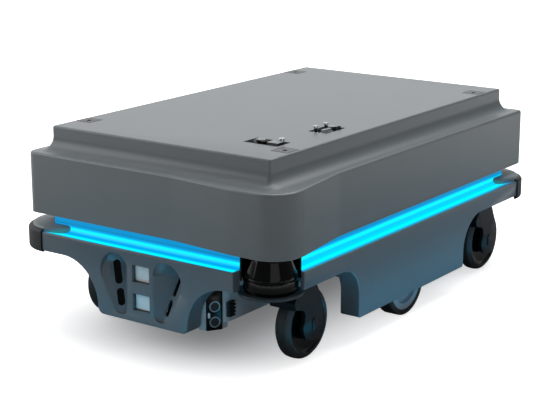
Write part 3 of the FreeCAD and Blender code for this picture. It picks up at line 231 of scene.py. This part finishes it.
def moulded_plastic(name, colour, roughness, grain, depth, mottle=0.05, gloss=0.5):
    """Injection moulded plastic: faint mottling and a spark-eroded grain.

    The eye reads it as a satin skin, a little uneven in tone. Grain and its depth are in
    millimetres, and mottle is the share by which the tone moves up and down.
    """
    material, tree, output = new_material(name)
    place = add_node(tree, "ShaderNodeTexCoord").outputs["Object"]
    base = linear(colour)
    cloud = add_node(tree, "ShaderNodeTexNoise", {"Vector": place, "Scale": 7.0, "Detail": 4.0})
    dark = tuple(value * (1 - mottle) for value in base[:3]) + (1.0,)
    light = tuple(min(1.0, value * (1 + mottle)) for value in base[:3]) + (1.0,)
    tone = add_node(tree, "ShaderNodeMix", data_type="RGBA",
                    links={"Factor": cloud.outputs["Fac"], "A": dark, "B": light})
    grit = add_node(tree, "ShaderNodeTexNoise",
                    {"Vector": place, "Scale": 1.0 / (grain * MM), "Detail": 3.0})
    shine = add_node(tree, "ShaderNodeMapRange",
                     {"Value": grit.outputs["Fac"], "To Min": roughness - 0.05,
                      "To Max": roughness + 0.05})
    bump = add_node(tree, "ShaderNodeBump", {"Height": grit.outputs["Fac"], "Strength": 0.35,
                                             "Distance": depth * MM})
    shader = add_node(tree, "ShaderNodeBsdfPrincipled",
                      {"Base Color": tone.outputs["Result"],
                       "Roughness": shine.outputs["Result"], "Normal": bump.outputs["Normal"],
                       "IOR": 1.5, "Specular IOR Level": gloss})
    tree.links.new(shader.outputs["BSDF"], output.inputs["Surface"])
    return material


def coated_steel(name, colour, roughness):
    """Powder coated sheet steel: low orange peel under a satin coat."""
    material, tree, output = new_material(name)
    place = add_node(tree, "ShaderNodeTexCoord").outputs["Object"]
    peel = add_node(tree, "ShaderNodeTexNoise",
                    {"Vector": place, "Scale": 380.0, "Detail": 2.0})
    bump = add_node(tree, "ShaderNodeBump", {"Height": peel.outputs["Fac"], "Strength": 0.25,
                                             "Distance": 0.0004})
    shader = add_node(tree, "ShaderNodeBsdfPrincipled",
                      {"Base Color": linear(colour), "Roughness": roughness,
                       "Normal": bump.outputs["Normal"], "Coat Weight": 0.15,
                       "Coat Roughness": 0.3})
    tree.links.new(shader.outputs["BSDF"], output.inputs["Surface"])
    return material


def bright_metal(name, colour, roughness, spacing=0.6):
    """Bare metal, turned, ground or blasted: fine marks that spread its highlights."""
    material, tree, output = new_material(name)
    place = add_node(tree, "ShaderNodeTexCoord").outputs["Object"]
    marks = add_node(tree, "ShaderNodeTexNoise",
                     {"Vector": place, "Scale": 1.0 / (spacing * MM), "Detail": 2.0})
    bump = add_node(tree, "ShaderNodeBump", {"Height": marks.outputs["Fac"], "Strength": 0.2,
                                             "Distance": 0.0002})
    shader = add_node(tree, "ShaderNodeBsdfPrincipled",
                      {"Base Color": linear(colour), "Metallic": 1.0, "Roughness": roughness,
                       "Normal": bump.outputs["Normal"]})
    tree.links.new(shader.outputs["BSDF"], output.inputs["Surface"])
    return material


def black_rubber(name, colour, roughness, grain):
    """Moulded rubber: matt, faintly dusty, with a fine uneven skin."""
    material, tree, output = new_material(name)
    place = add_node(tree, "ShaderNodeTexCoord").outputs["Object"]
    skin = add_node(tree, "ShaderNodeTexNoise",
                    {"Vector": place, "Scale": 1.0 / (grain * MM), "Detail": 4.0})
    dust = add_node(tree, "ShaderNodeTexNoise", {"Vector": place, "Scale": 22.0, "Detail": 5.0})
    spread = add_node(tree, "ShaderNodeMapRange",
                      {"Value": dust.outputs["Fac"], "To Min": roughness - 0.08,
                       "To Max": roughness + 0.08})
    bump = add_node(tree, "ShaderNodeBump", {"Height": skin.outputs["Fac"], "Strength": 0.4,
                                             "Distance": 0.0004})
    shader = add_node(tree, "ShaderNodeBsdfPrincipled",
                      {"Base Color": linear(colour), "Roughness": spread.outputs["Result"],
                       "Normal": bump.outputs["Normal"]})
    tree.links.new(shader.outputs["BSDF"], output.inputs["Surface"])
    return material


def glow_with_painted_bands(name, across, slope, origin, stops):
    """Frosted acrylic over strings of lamps, which glows by itself, with bands that run along
    the trough: its brightest lines are painted reflections of the lamps, and its dark low bands
    painted shade.

    The bands are laid by height, leaned outwards by the slope from an origin in
    millimetres, so each one keeps its place on the curved strip from the hood down to the
    lip. The stops are pairs of a height in millimetres and a colour, from low to high.
    """
    material, tree, output = new_material(name)
    place = add_node(tree, "ShaderNodeTexCoord").outputs["Object"]
    parts = add_node(tree, "ShaderNodeSeparateXYZ", {"Vector": place})
    depth = add_node(tree, "ShaderNodeMath", {0: parts.outputs[across]}, operation="ABSOLUTE")
    outward = add_node(tree, "ShaderNodeMath", {0: depth.outputs[0], 1: origin * MM},
                       operation="SUBTRACT")
    lean = add_node(tree, "ShaderNodeMath", {0: outward.outputs[0], 1: slope},
                    operation="MULTIPLY")
    level = add_node(tree, "ShaderNodeMath", {0: parts.outputs["Z"], 1: lean.outputs[0]},
                     operation="SUBTRACT")
    low, high = stops[0][0], stops[-1][0]
    share = add_node(tree, "ShaderNodeMapRange",
                     {"Value": level.outputs[0], "From Min": low * MM, "From Max": high * MM})
    ramp = add_node(tree, "ShaderNodeValToRGB", {"Fac": share.outputs["Result"]})
    band = ramp.color_ramp
    while len(band.elements) > 1:
        band.elements.remove(band.elements[-1])
    for number, (height, colour) in enumerate(stops):
        where = (height - low) / (high - low)
        element = band.elements[0] if number == 0 else band.elements.new(where)
        element.position = where
        element.color = linear(colour)
    shader = add_node(tree, "ShaderNodeBsdfPrincipled",
                      {"Base Color": linear("#04202C"), "Roughness": 0.35,
                       "Specular IOR Level": 0.2,
                       "Emission Color": ramp.outputs["Color"], "Emission Strength": 1.0})
    tree.links.new(shader.outputs["BSDF"], output.inputs["Surface"])
    return material


def make_finishes(look):
    """Every finish of the robot, by the name of what it is."""
    return {
        # big satin mouldings, whose grain turns lamps into wide soft glows
        "hood": moulded_plastic("Grained ABS hood", look.hood_colour, 0.36, 1.1, 0.07),
        "cover": moulded_plastic("Grained ABS cover", look.cover_colour, 0.33, 1.1, 0.07),
        "channel": moulded_plastic("Satin ABS channel", look.channel_colour, 0.45, 1.2, 0.08),
        # polished black mouldings, nearly mirrors at their edges
        "gloss": moulded_plastic("Polished black polycarbonate", "#060708", 0.12, 3.0, 0.01,
                                 mottle=0.0, gloss=0.25),
        # duller dark mouldings, which keep the casters and scanners readable
        "fork": moulded_plastic("Glass-filled nylon fork", "#0C1116", 0.38, 1.6, 0.05,
                                mottle=0.02, gloss=0.3),
        "matt": moulded_plastic("Black textured ABS", "#141618", 0.55, 1.0, 0.10),
        "disc": moulded_plastic("Dark nylon disc", "#333D43", 0.30, 1.4, 0.06, gloss=0.4),
        # small pale mouldings that stand out from the dark ones
        "white": moulded_plastic("White polycarbonate button", "#F2F4F5", 0.22, 2.5, 0.02,
                                 mottle=0.01),
        "cap": moulded_plastic("Grey nylon insert", "#8D9496", 0.4, 1.4, 0.04),
        # rubbers that swallow light
        "bumper": black_rubber("Soft bumper rubber", "#26282A", 0.55, 1.0),
        "tyre": black_rubber("Wheel polyurethane", "#24292C", 0.50, 1.4),
        # black of the dark square rings round the post tops, and painted shade inside the
        # posts' tapped holes
        "dark_ring_and_bore_shade": black_rubber("Post seal rubber", "#050505", 0.7, 0.8),
        # coats whose orange peel softens what they mirror
        "steel": coated_steel("Powder coated steel", "#CBD5DB", 0.5),
        "casting": coated_steel("Painted motor casting", "#2A2C2E", 0.5),
        "post": coated_steel("Painted steel post", "#55585A", 0.5),
        # the drive rims: their own light tone, made pale and bluish as a painted reflection of
        # the cyan light
        "rim_pale_sheen": coated_steel("Painted wheel disc", "#A4BACB", 0.4),
        # bare metals, the only true mirrors of the robot
        "satin": bright_metal("Satin steel ring", "#8B9499", 0.35),
        "chrome": bright_metal("Nickel plated brass", "#D9DADA", 0.12),
        "aluminium": bright_metal("Blasted aluminium", "#B9C0C5", 0.34),
        # strips that glow by themselves, with painted reflections as their two brightest lines
        # and painted shade in their darkest bands
        "ends": glow_with_painted_bands("Frosted diffuser of the ends", across="X", slope=0.393,
                             origin=408.0, stops=(
            (157.0, "#0074AF"), (159.5, "#00AEEC"), (161.0, "#00F7FF"), (163.2, "#00FAFF"),
            (164.8, "#00BCF9"), (166.5, "#00A3EE"), (170.0, "#00B3FA"), (173.6, "#00E2FF"),
            (175.3, "#00F8FF"), (177.2, "#00FFFF"), (178.8, "#00D0FF"), (180.6, "#00A5ED"),
            (184.0, "#0085BD"), (188.0, "#0095D6"), (196.0, "#018BC1"))),
        "sides": glow_with_painted_bands("Frosted diffuser of the sides", across="Y", slope=0.552,
                              origin=255.0, stops=(
            (152.0, "#184A60"), (156.1, "#276987"), (157.9, "#258BBE"), (159.6, "#0EC1F5"),
            (161.4, "#00F7FF"), (164.6, "#00FFFF"), (166.7, "#00E0FF"), (173.8, "#00CFFF"),
            (175.8, "#00DEFF"), (177.3, "#00F9FF"), (181.2, "#00FFFF"), (182.6, "#00E5FF"),
            (184.4, "#00A9F3"), (187.0, "#0090CC"), (196.0, "#0088BE"))),
    }


FINISH = {}  # filled by main, before the operators run


# ------------------------------------------------------------------ settings

class RobotLook(bpy.types.PropertyGroup):
    """Colours and small sizes of the robot that a user would change."""

    hood_colour: bpy.props.StringProperty(
        name="Hood colour", description="sRGB hex colour of the hood", default="#767D80")
    cover_colour: bpy.props.StringProperty(
        name="Cover colour", description="sRGB hex colour of the lower covers",
        default="#69737A")
    channel_colour: bpy.props.StringProperty(
        name="Channel colour", description="sRGB hex colour of the trough and corner caps",
        default="#8F999E")
    edge: bpy.props.FloatProperty(
        name="Edge", description="Rounding of the moulded edges", default=0.0008,
        min=0.0, max=0.003, unit="LENGTH")


class RobotStudio(bpy.types.PropertyGroup):
    """Lamps and camera of the studio."""

    key_power: bpy.props.FloatProperty(
        name="Key power", description="Power of the softbox overhead in watts",
        default=61.0, min=0.0)
    side_power: bpy.props.FloatProperty(
        name="Side power", description="Power of the softbox to the robot's left in watts",
        default=4.2, min=0.0)
    front_power: bpy.props.FloatProperty(
        name="Front power", description="Power of the softbox ahead, to the right, in watts",
        default=26.0, min=0.0)
    low_power: bpy.props.FloatProperty(
        name="Low power", description="Power of the left cyan strip on the floor in watts",
        default=0.26, min=0.0)
    fill: bpy.props.FloatProperty(
        name="Fill", description="Strength of the light from all round", default=0.14,
        min=0.0, max=1.0)
    backdrop: bpy.props.FloatProperty(
        name="Backdrop", description="Strength of the pale backdrop at the rear right",
        default=0.8, min=0.0, max=2.0)
    lens: bpy.props.FloatProperty(
        name="Lens", description="Focal length on a 36 mm sensor", default=0.093,
        min=0.01, max=0.3, unit="LENGTH")


# ------------------------------------------------------------------ robot pieces

class ROBOT_OT_hood(bpy.types.Operator):
    """Finish the hood and the four payload posts that show in its top"""

    bl_idname = "robot.hood"
    bl_label = "Hood and posts"

    def execute(self, context):
        look = context.scene.robot_look
        smooth_copy("hood", "hood_moulding", FINISH["hood"], look.edge,
                    angle=26)
        for corner in CORNERS:
            node = f"payload_post_{corner}"
            # inside each post's tapped hole the faces are black: painted shade
            smooth_copy(node, f"post_{corner}", FINISH["post"], edge=0.0005,
                        accents=((FINISH["dark_ring_and_bore_shade"], in_bore(node)),))
            piece(f"post_seal_{corner}", dark_square_ring(node), FINISH["dark_ring_and_bore_shade"], "hood")
        return {"FINISHED"}


class ROBOT_OT_covers(bpy.types.Operator):
    """Finish the four lower covers, the cameras and the release buttons"""

    bl_idname = "robot.covers"
    bl_label = "Lower covers"

    def execute(self, context):
        look = context.scene.robot_look
        for node in ("front_cover", "rear_cover", "side_cover_left", "side_cover_right"):
            smooth_copy(node, f"{node}_moulding", FINISH["cover"], look.edge,
                        angle=28)
        for side in SIDES:
            paint(f"camera_{side}", FINISH["gloss"])
        for end in ENDS:
            for level in ("upper", "lower"):
                node = f"release_button_{end}_{level}"
                smooth_copy(node, f"{node}_cap", FINISH["white"],
                            edge=0.0006)
        return {"FINISHED"}


class ROBOT_OT_trough(bpy.types.Operator):
    """Light the strips of the trough and finish its channels and corner caps"""

    bl_idname = "robot.trough"
    bl_label = "Light trough"

    def execute(self, context):
        look = context.scene.robot_look
        for finish, places in (("ends", ENDS), ("sides", SIDES)):
            for place in places:
                # strips that glow, with painted reflections and painted shade in their bands
                smooth_copy(f"light_strip_{place}", f"diffuser_{place}", FINISH[finish],
                            angle=30)
        for corner in BUMPER_CORNERS:
            smooth_copy(f"light_channel_{corner}", f"channel_{corner}", FINISH["channel"],
                        look.edge, angle=30)
            smooth_copy(f"corner_bumper_{corner}", f"bumper_{corner}", FINISH["bumper"],
                        look.edge, angle=30)
        return {"FINISHED"}


class ROBOT_OT_scanners(bpy.types.Operator):
    """Finish the two laser scanners, their discs and shrouds"""

    bl_idname = "robot.scanners"
    bl_label = "Laser scanners"

    def execute(self, context):
        for corner in SCANNER_CORNERS:
            smooth_copy(f"scanner_head_{corner}", f"scanner_{corner}", FINISH["gloss"],
                        edge=0.0004, angle=30)
            smooth_copy(f"scanner_disc_{corner}", f"disc_{corner}", FINISH["disc"],
                        edge=0.001, angle=30)
            smooth_copy(f"scanner_shroud_{corner}", f"shroud_{corner}", FINISH["gloss"],
                        edge=0.0006, angle=30)
        return {"FINISHED"}


class ROBOT_OT_casters(bpy.types.Operator):
    """Finish the four swivel casters"""

    bl_idname = "robot.casters"
    bl_label = "Swivel casters"

    def execute(self, context):
        for corner in CORNERS:
            smooth_copy(f"caster_fork_{corner}", f"fork_{corner}", FINISH["fork"],
                        edge=0.0012, angle=30)
            smooth_copy(f"caster_core_{corner}", f"core_{corner}", FINISH["gloss"],
                        angle=30)
            smooth_copy(f"caster_tyre_{corner}", f"tyre_{corner}", FINISH["tyre"],
                        angle=30)
        return {"FINISHED"}


class ROBOT_OT_drives(bpy.types.Operator):
    """Finish the two drive wheels and their gearmotors"""

    bl_idname = "robot.drives"
    bl_label = "Drive wheels"

    def execute(self, context):
        for side in SIDES:
            # rims in a pale bluish coat, partly a painted reflection
            smooth_copy(f"drive_rim_{side}", f"rim_{side}", FINISH["rim_pale_sheen"],
                        angle=30)
            smooth_copy(f"drive_tyre_{side}", f"tread_{side}", FINISH["tyre"],
                        angle=30)
            smooth_copy(f"drive_motor_{side}", f"motor_{side}", FINISH["casting"],
                        edge=0.0008, angle=30)
        return {"FINISHED"}


class ROBOT_OT_controls(bpy.types.Operator):
    """Finish the control panel, its buttons and lamp, and the charge socket"""

    bl_idname = "robot.controls"
    bl_label = "Controls"

    def execute(self, context):
        buttons = ("start", "reset")
        centres = [middle_and_top(f"panel_button_{name}")[0] / MM for name in buttons]
        inner, outer = PANEL_RING

        def ring(centre, normal):
            return any(inner < (centre - middle).length < outer for middle in centres)

        smooth_copy("control_panel", "panel_plate", FINISH["gloss"],
                    edge=0.0004, accents=((FINISH["satin"], ring),))
        for name in buttons:
            smooth_copy(f"panel_button_{name}", f"button_{name}", FINISH["matt"],
                        edge=0.0004)
        paint("panel_lamp", FINISH["white"])
        smooth_copy("charge_socket", "socket", FINISH["matt"], edge=0.0003)
        return {"FINISHED"}


class ROBOT_OT_interfaces(bpy.types.Operator):
    """Finish the connector panels that show through the top"""

    bl_idname = "robot.interfaces"
    bl_label = "Interface panels"

    def execute(self, context):
        def knob(centre, normal):
            return centre.z > KNOB_LEVEL

        def jack_head(centre, normal):
            return centre.z > JACK_LEVEL

        def lid(centre, normal):
            low, high = LID_LEVELS
            return normal.z > FLAT and low < centre.z < high

        smooth_copy("interface_panel_front", "panel_front", FINISH["matt"],
                    edge=0.0003,
                    accents=((FINISH["cap"], lid), (FINISH["chrome"], knob)))
        smooth_copy("interface_panel_rear", "panel_rear", FINISH["matt"],
                    edge=0.0003,
                    accents=((FINISH["cap"], lid), (FINISH["chrome"], jack_head)))
        smooth_copy("round_connector", "round_plug", FINISH["gloss"],
                    edge=0.0003, accents=((FINISH["cap"], lid),))
        smooth_copy("ribbed_connector", "ribbed_plug", FINISH["cap"],
                    edge=0.0003)
        return {"FINISHED"}


class ROBOT_OT_chassis(bpy.types.Operator):
    """Finish the tray, the deck and what the tray holds"""

    bl_idname = "robot.chassis"
    bl_label = "Chassis"

    def execute(self, context):
        smooth_copy("chassis_tray", "tray", FINISH["steel"], edge=0.0008)
        smooth_copy("deck_plate", "deck", FINISH["steel"], edge=0.0005)
        smooth_copy("battery", "battery_case", FINISH["matt"], edge=0.001)
        smooth_copy("computer", "computer_case", FINISH["aluminium"],
                    edge=0.0005)
        return {"FINISHED"}


# ------------------------------------------------------------------ studio

def seen_share(tree, mirror):
    """1 for rays from the camera, through clear things too, and a share of mirrored ones."""
    seen = add_node(tree, "ShaderNodeLightPath")
    mirrored = add_node(tree, "ShaderNodeMath",
                        {0: seen.outputs["Is Glossy Ray"], 1: mirror}, operation="MULTIPLY")
    direct = add_node(tree, "ShaderNodeMath",
                      {0: seen.outputs["Is Camera Ray"],
                       1: seen.outputs["Is Transmission Ray"]}, operation="MAXIMUM")
    either = add_node(tree, "ShaderNodeMath",
                      {0: direct.outputs[0], 1: mirrored.outputs[0]}, operation="MAXIMUM")
    return either.outputs[0]


def floor_material():
    """Seamless white paper: it takes the robot's shadow, carries a painted shadow round the
    robot's footprint, and reads white to the eye.
    """
    material, tree, output = new_material("Seamless paper")
    paper = add_node(tree, "ShaderNodeBsdfDiffuse", {"Color": linear("#E6E6E6")})
    place = add_node(tree, "ShaderNodeTexCoord").outputs["Object"]
    # the paper's glow is dimmed within and near the robot's footprint, a painted shadow that
    # adds to the real one and keeps it close, and the floor meets the backdrop unseen
    folded = add_node(tree, "ShaderNodeVectorMath", {0: place}, operation="ABSOLUTE")
    beyond = add_node(tree, "ShaderNodeVectorMath",
                      {0: folded.outputs[0], 1: FOOTPRINT}, operation="SUBTRACT")
    outside = add_node(tree, "ShaderNodeVectorMath", {0: beyond.outputs[0], 1: (0, 0, 0)},
                       operation="MAXIMUM")
    reach = add_node(tree, "ShaderNodeVectorMath", {0: outside.outputs[0]},
                     operation="LENGTH")
    lift = add_node(tree, "ShaderNodeMapRange", interpolation_type="SMOOTHSTEP",
                    links={"Value": reach.outputs["Value"], "From Min": 0.0,
                           "From Max": SHADOW_REACH, "To Min": SHADOW_CORE,
                           "To Max": 1.0})
    # mirrored, it whitens only farther out, so black gloss near the floor stays black
    far = add_node(tree, "ShaderNodeMapRange", interpolation_type="SMOOTHSTEP",
                   links={"Value": reach.outputs["Value"], "From Min": MIRRORED_FROM,
                          "From Max": MIRRORED_TO})
    glow = add_node(tree, "ShaderNodeEmission", {"Color": (1, 1, 1, 1),
                                                 "Strength": lift.outputs["Result"]})
    bright = add_node(tree, "ShaderNodeAddShader", {0: paper.outputs[0], 1: glow.outputs[0]})
    dull = add_node(tree, "ShaderNodeBsdfDiffuse", {"Color": linear("#9A9A9A")})
    mix = add_node(tree, "ShaderNodeMixShader",
                   {0: seen_share(tree, far.outputs["Result"]), 1: dull.outputs[0],
                    2: bright.outputs[0]})
    tree.links.new(mix.outputs[0], output.inputs["Surface"])
    return material


def studio_air(studio):
    """White to the eye, and for the robot a soft light with a paler backdrop on one side."""
    world = bpy.data.worlds.new("Studio air")
    world.use_nodes = True
    tree = world.node_tree
    tree.nodes.clear()
    # the satin top mirrors the backdrop at a low angle, so it stands at the rear right
    heading = add_node(tree, "ShaderNodeTexCoord").outputs["Generated"]
    facing = add_node(tree, "ShaderNodeVectorMath", {0: heading, 1: BACKDROP_WAY},
                      operation="DOT_PRODUCT").outputs["Value"]
    glow = add_node(tree, "ShaderNodeMapRange", interpolation_type="SMOOTHSTEP",
                    links={"Value": facing, "From Min": BACKDROP_EDGE, "From Max": 1.0,
                           "To Min": studio.fill, "To Max": studio.backdrop})
    soft = add_node(tree, "ShaderNodeBackground", {"Color": linear("#F2F4F6"),
                                                   "Strength": glow.outputs["Result"]})
    white = add_node(tree, "ShaderNodeBackground", {"Color": (1, 1, 1, 1), "Strength": 1.0})
    shown = add_node(tree, "ShaderNodeMapRange",
                     {"Value": facing, "From Min": BACKDROP_EDGE,
                      "From Max": BACKDROP_MIRRORED})
    mix = add_node(tree, "ShaderNodeMixShader",
                   {0: seen_share(tree, shown.outputs["Result"]), 1: soft.outputs[0],
                    2: white.outputs[0]})
    add_node(tree, "ShaderNodeOutputWorld", {"Surface": mix.outputs[0]})
    return world


def add_lamp(name, power, size, at, aim, colour="#FFFFFF", spread=180.0):
    """A rectangular softbox that points from one place to another."""
    lamp = bpy.data.lights.new(name, "AREA")
    lamp.color = linear(colour)[:3]
    lamp.shape = "RECTANGLE"
    lamp.size, lamp.size_y = size
    lamp.energy = power
    lamp.spread = math.radians(spread)
    thing = bpy.data.objects.new(name, lamp)
    thing.location = at
    direction = Vector(aim) - Vector(at)
    thing.rotation_euler = direction.to_track_quat("-Z", "Y").to_euler()
    thing.visible_camera = False
    bpy.context.scene.collection.objects.link(thing)


class ROBOT_OT_studio(bpy.types.Operator):
    """Build the white floor, the softboxes and the camera"""

    bl_idname = "robot.studio"
    bl_label = "Studio"

    def execute(self, context):
        scene = context.scene
        studio = scene.robot_studio
        bm = bmesh.new()
        bmesh.ops.create_grid(bm, x_segments=1, y_segments=1, size=FLOOR_HALF)
        mesh = bpy.data.meshes.new("floor")
        bm.to_mesh(mesh)
        bm.free()
        mesh.materials.append(floor_material())
        floor = bpy.data.objects.new("floor", mesh)
        scene.collection.objects.link(floor)

        scene.world = studio_air(studio)
        add_lamp("overhead softbox", studio.key_power, size=(2.4, 2.4),
                 at=(-0.9, 0.2, 2.8), aim=(0.0, 0.0, 0.3))
        add_lamp("front softbox", studio.front_power, size=(2.2, 1.6),
                 at=(1.7, -2.2, 1.6), aim=(0.4, -0.2, 0.2))
        add_lamp("left softbox", studio.side_power, size=(1.6, 1.2),
                 at=(1.6, 2.0, 0.9), aim=(0.2, 0.2, 0.2))
        # cyan strips on the floor, close along the left side and the front
        add_lamp("low strip left", studio.low_power, size=(0.9, 0.03),
                 at=(0.0, 0.37, 0.005), aim=(0.0, 0.28, 0.10),
                 colour=GLOW, spread=GLOW_SPREAD)
        add_lamp("low strip front", studio.low_power * FRONT_SHARE, size=(0.5, 0.03),
                 at=(0.54, 0.0, 0.005), aim=(0.45, 0.0, 0.10),
                 colour=GLOW, spread=GLOW_SPREAD)

        camera = bpy.data.cameras.new("camera")
        camera.sensor_width = SENSOR
        camera.lens = studio.lens / MM
        camera.clip_end = VIEW_END
        thing = bpy.data.objects.new("camera", camera)
        out, level = math.sin(CAMERA_LIFT), math.cos(CAMERA_LIFT)
        back = Vector((math.sin(CAMERA_TURN) * level, -math.cos(CAMERA_TURN) * level, out))
        right = Vector((math.cos(CAMERA_TURN), math.sin(CAMERA_TURN), 0))
        axes = Matrix((right, back.cross(right), back)).transposed().to_4x4()
        thing.matrix_world = Matrix.Translation(CAMERA_PLACE) @ axes
        scene.collection.objects.link(thing)
        scene.camera = thing
        scene.view_settings.view_transform = "Standard"
        return {"FINISHED"}


class ROBOT_PT_pieces(bpy.types.Panel):
    """Buttons that build the robot's pieces and its studio"""

    bl_idname = "ROBOT_PT_pieces"
    bl_label = "Mobile robot"
    bl_space_type = "VIEW_3D"
    bl_region_type = "UI"
    bl_category = "Robot"

    def draw(self, context):
        look = context.scene.robot_look
        for name in ("hood_colour", "cover_colour", "channel_colour", "edge"):
            self.layout.prop(look, name)
        studio = context.scene.robot_studio
        for name in ("key_power", "side_power", "front_power", "low_power", "fill",
                     "backdrop", "lens"):
            self.layout.prop(studio, name)
        for operator in STEPS:
            self.layout.operator(operator.bl_idname)


STEPS = (ROBOT_OT_hood, ROBOT_OT_covers, ROBOT_OT_trough, ROBOT_OT_scanners,
         ROBOT_OT_casters, ROBOT_OT_drives, ROBOT_OT_controls, ROBOT_OT_interfaces,
         ROBOT_OT_chassis, ROBOT_OT_studio)
CLASSES = (RobotLook, RobotStudio, *STEPS, ROBOT_PT_pieces)


def register():
    for cls in CLASSES:
        bpy.utils.register_class(cls)
    bpy.types.Scene.robot_look = bpy.props.PointerProperty(type=RobotLook)
    bpy.types.Scene.robot_studio = bpy.props.PointerProperty(type=RobotStudio)


def unregister():
    del bpy.types.Scene.robot_studio
    del bpy.types.Scene.robot_look
    for cls in reversed(CLASSES):
        bpy.utils.unregister_class(cls)


def main():
    """Build the pieces in order."""
    register()
    FINISH.update(make_finishes(bpy.context.scene.robot_look))
    for operator in STEPS:
        family, name = operator.bl_idname.split(".")
        getattr(getattr(bpy.ops, family), name)()
    bpy.context.view_layer.update()


if __name__ == "__main__":
    main()
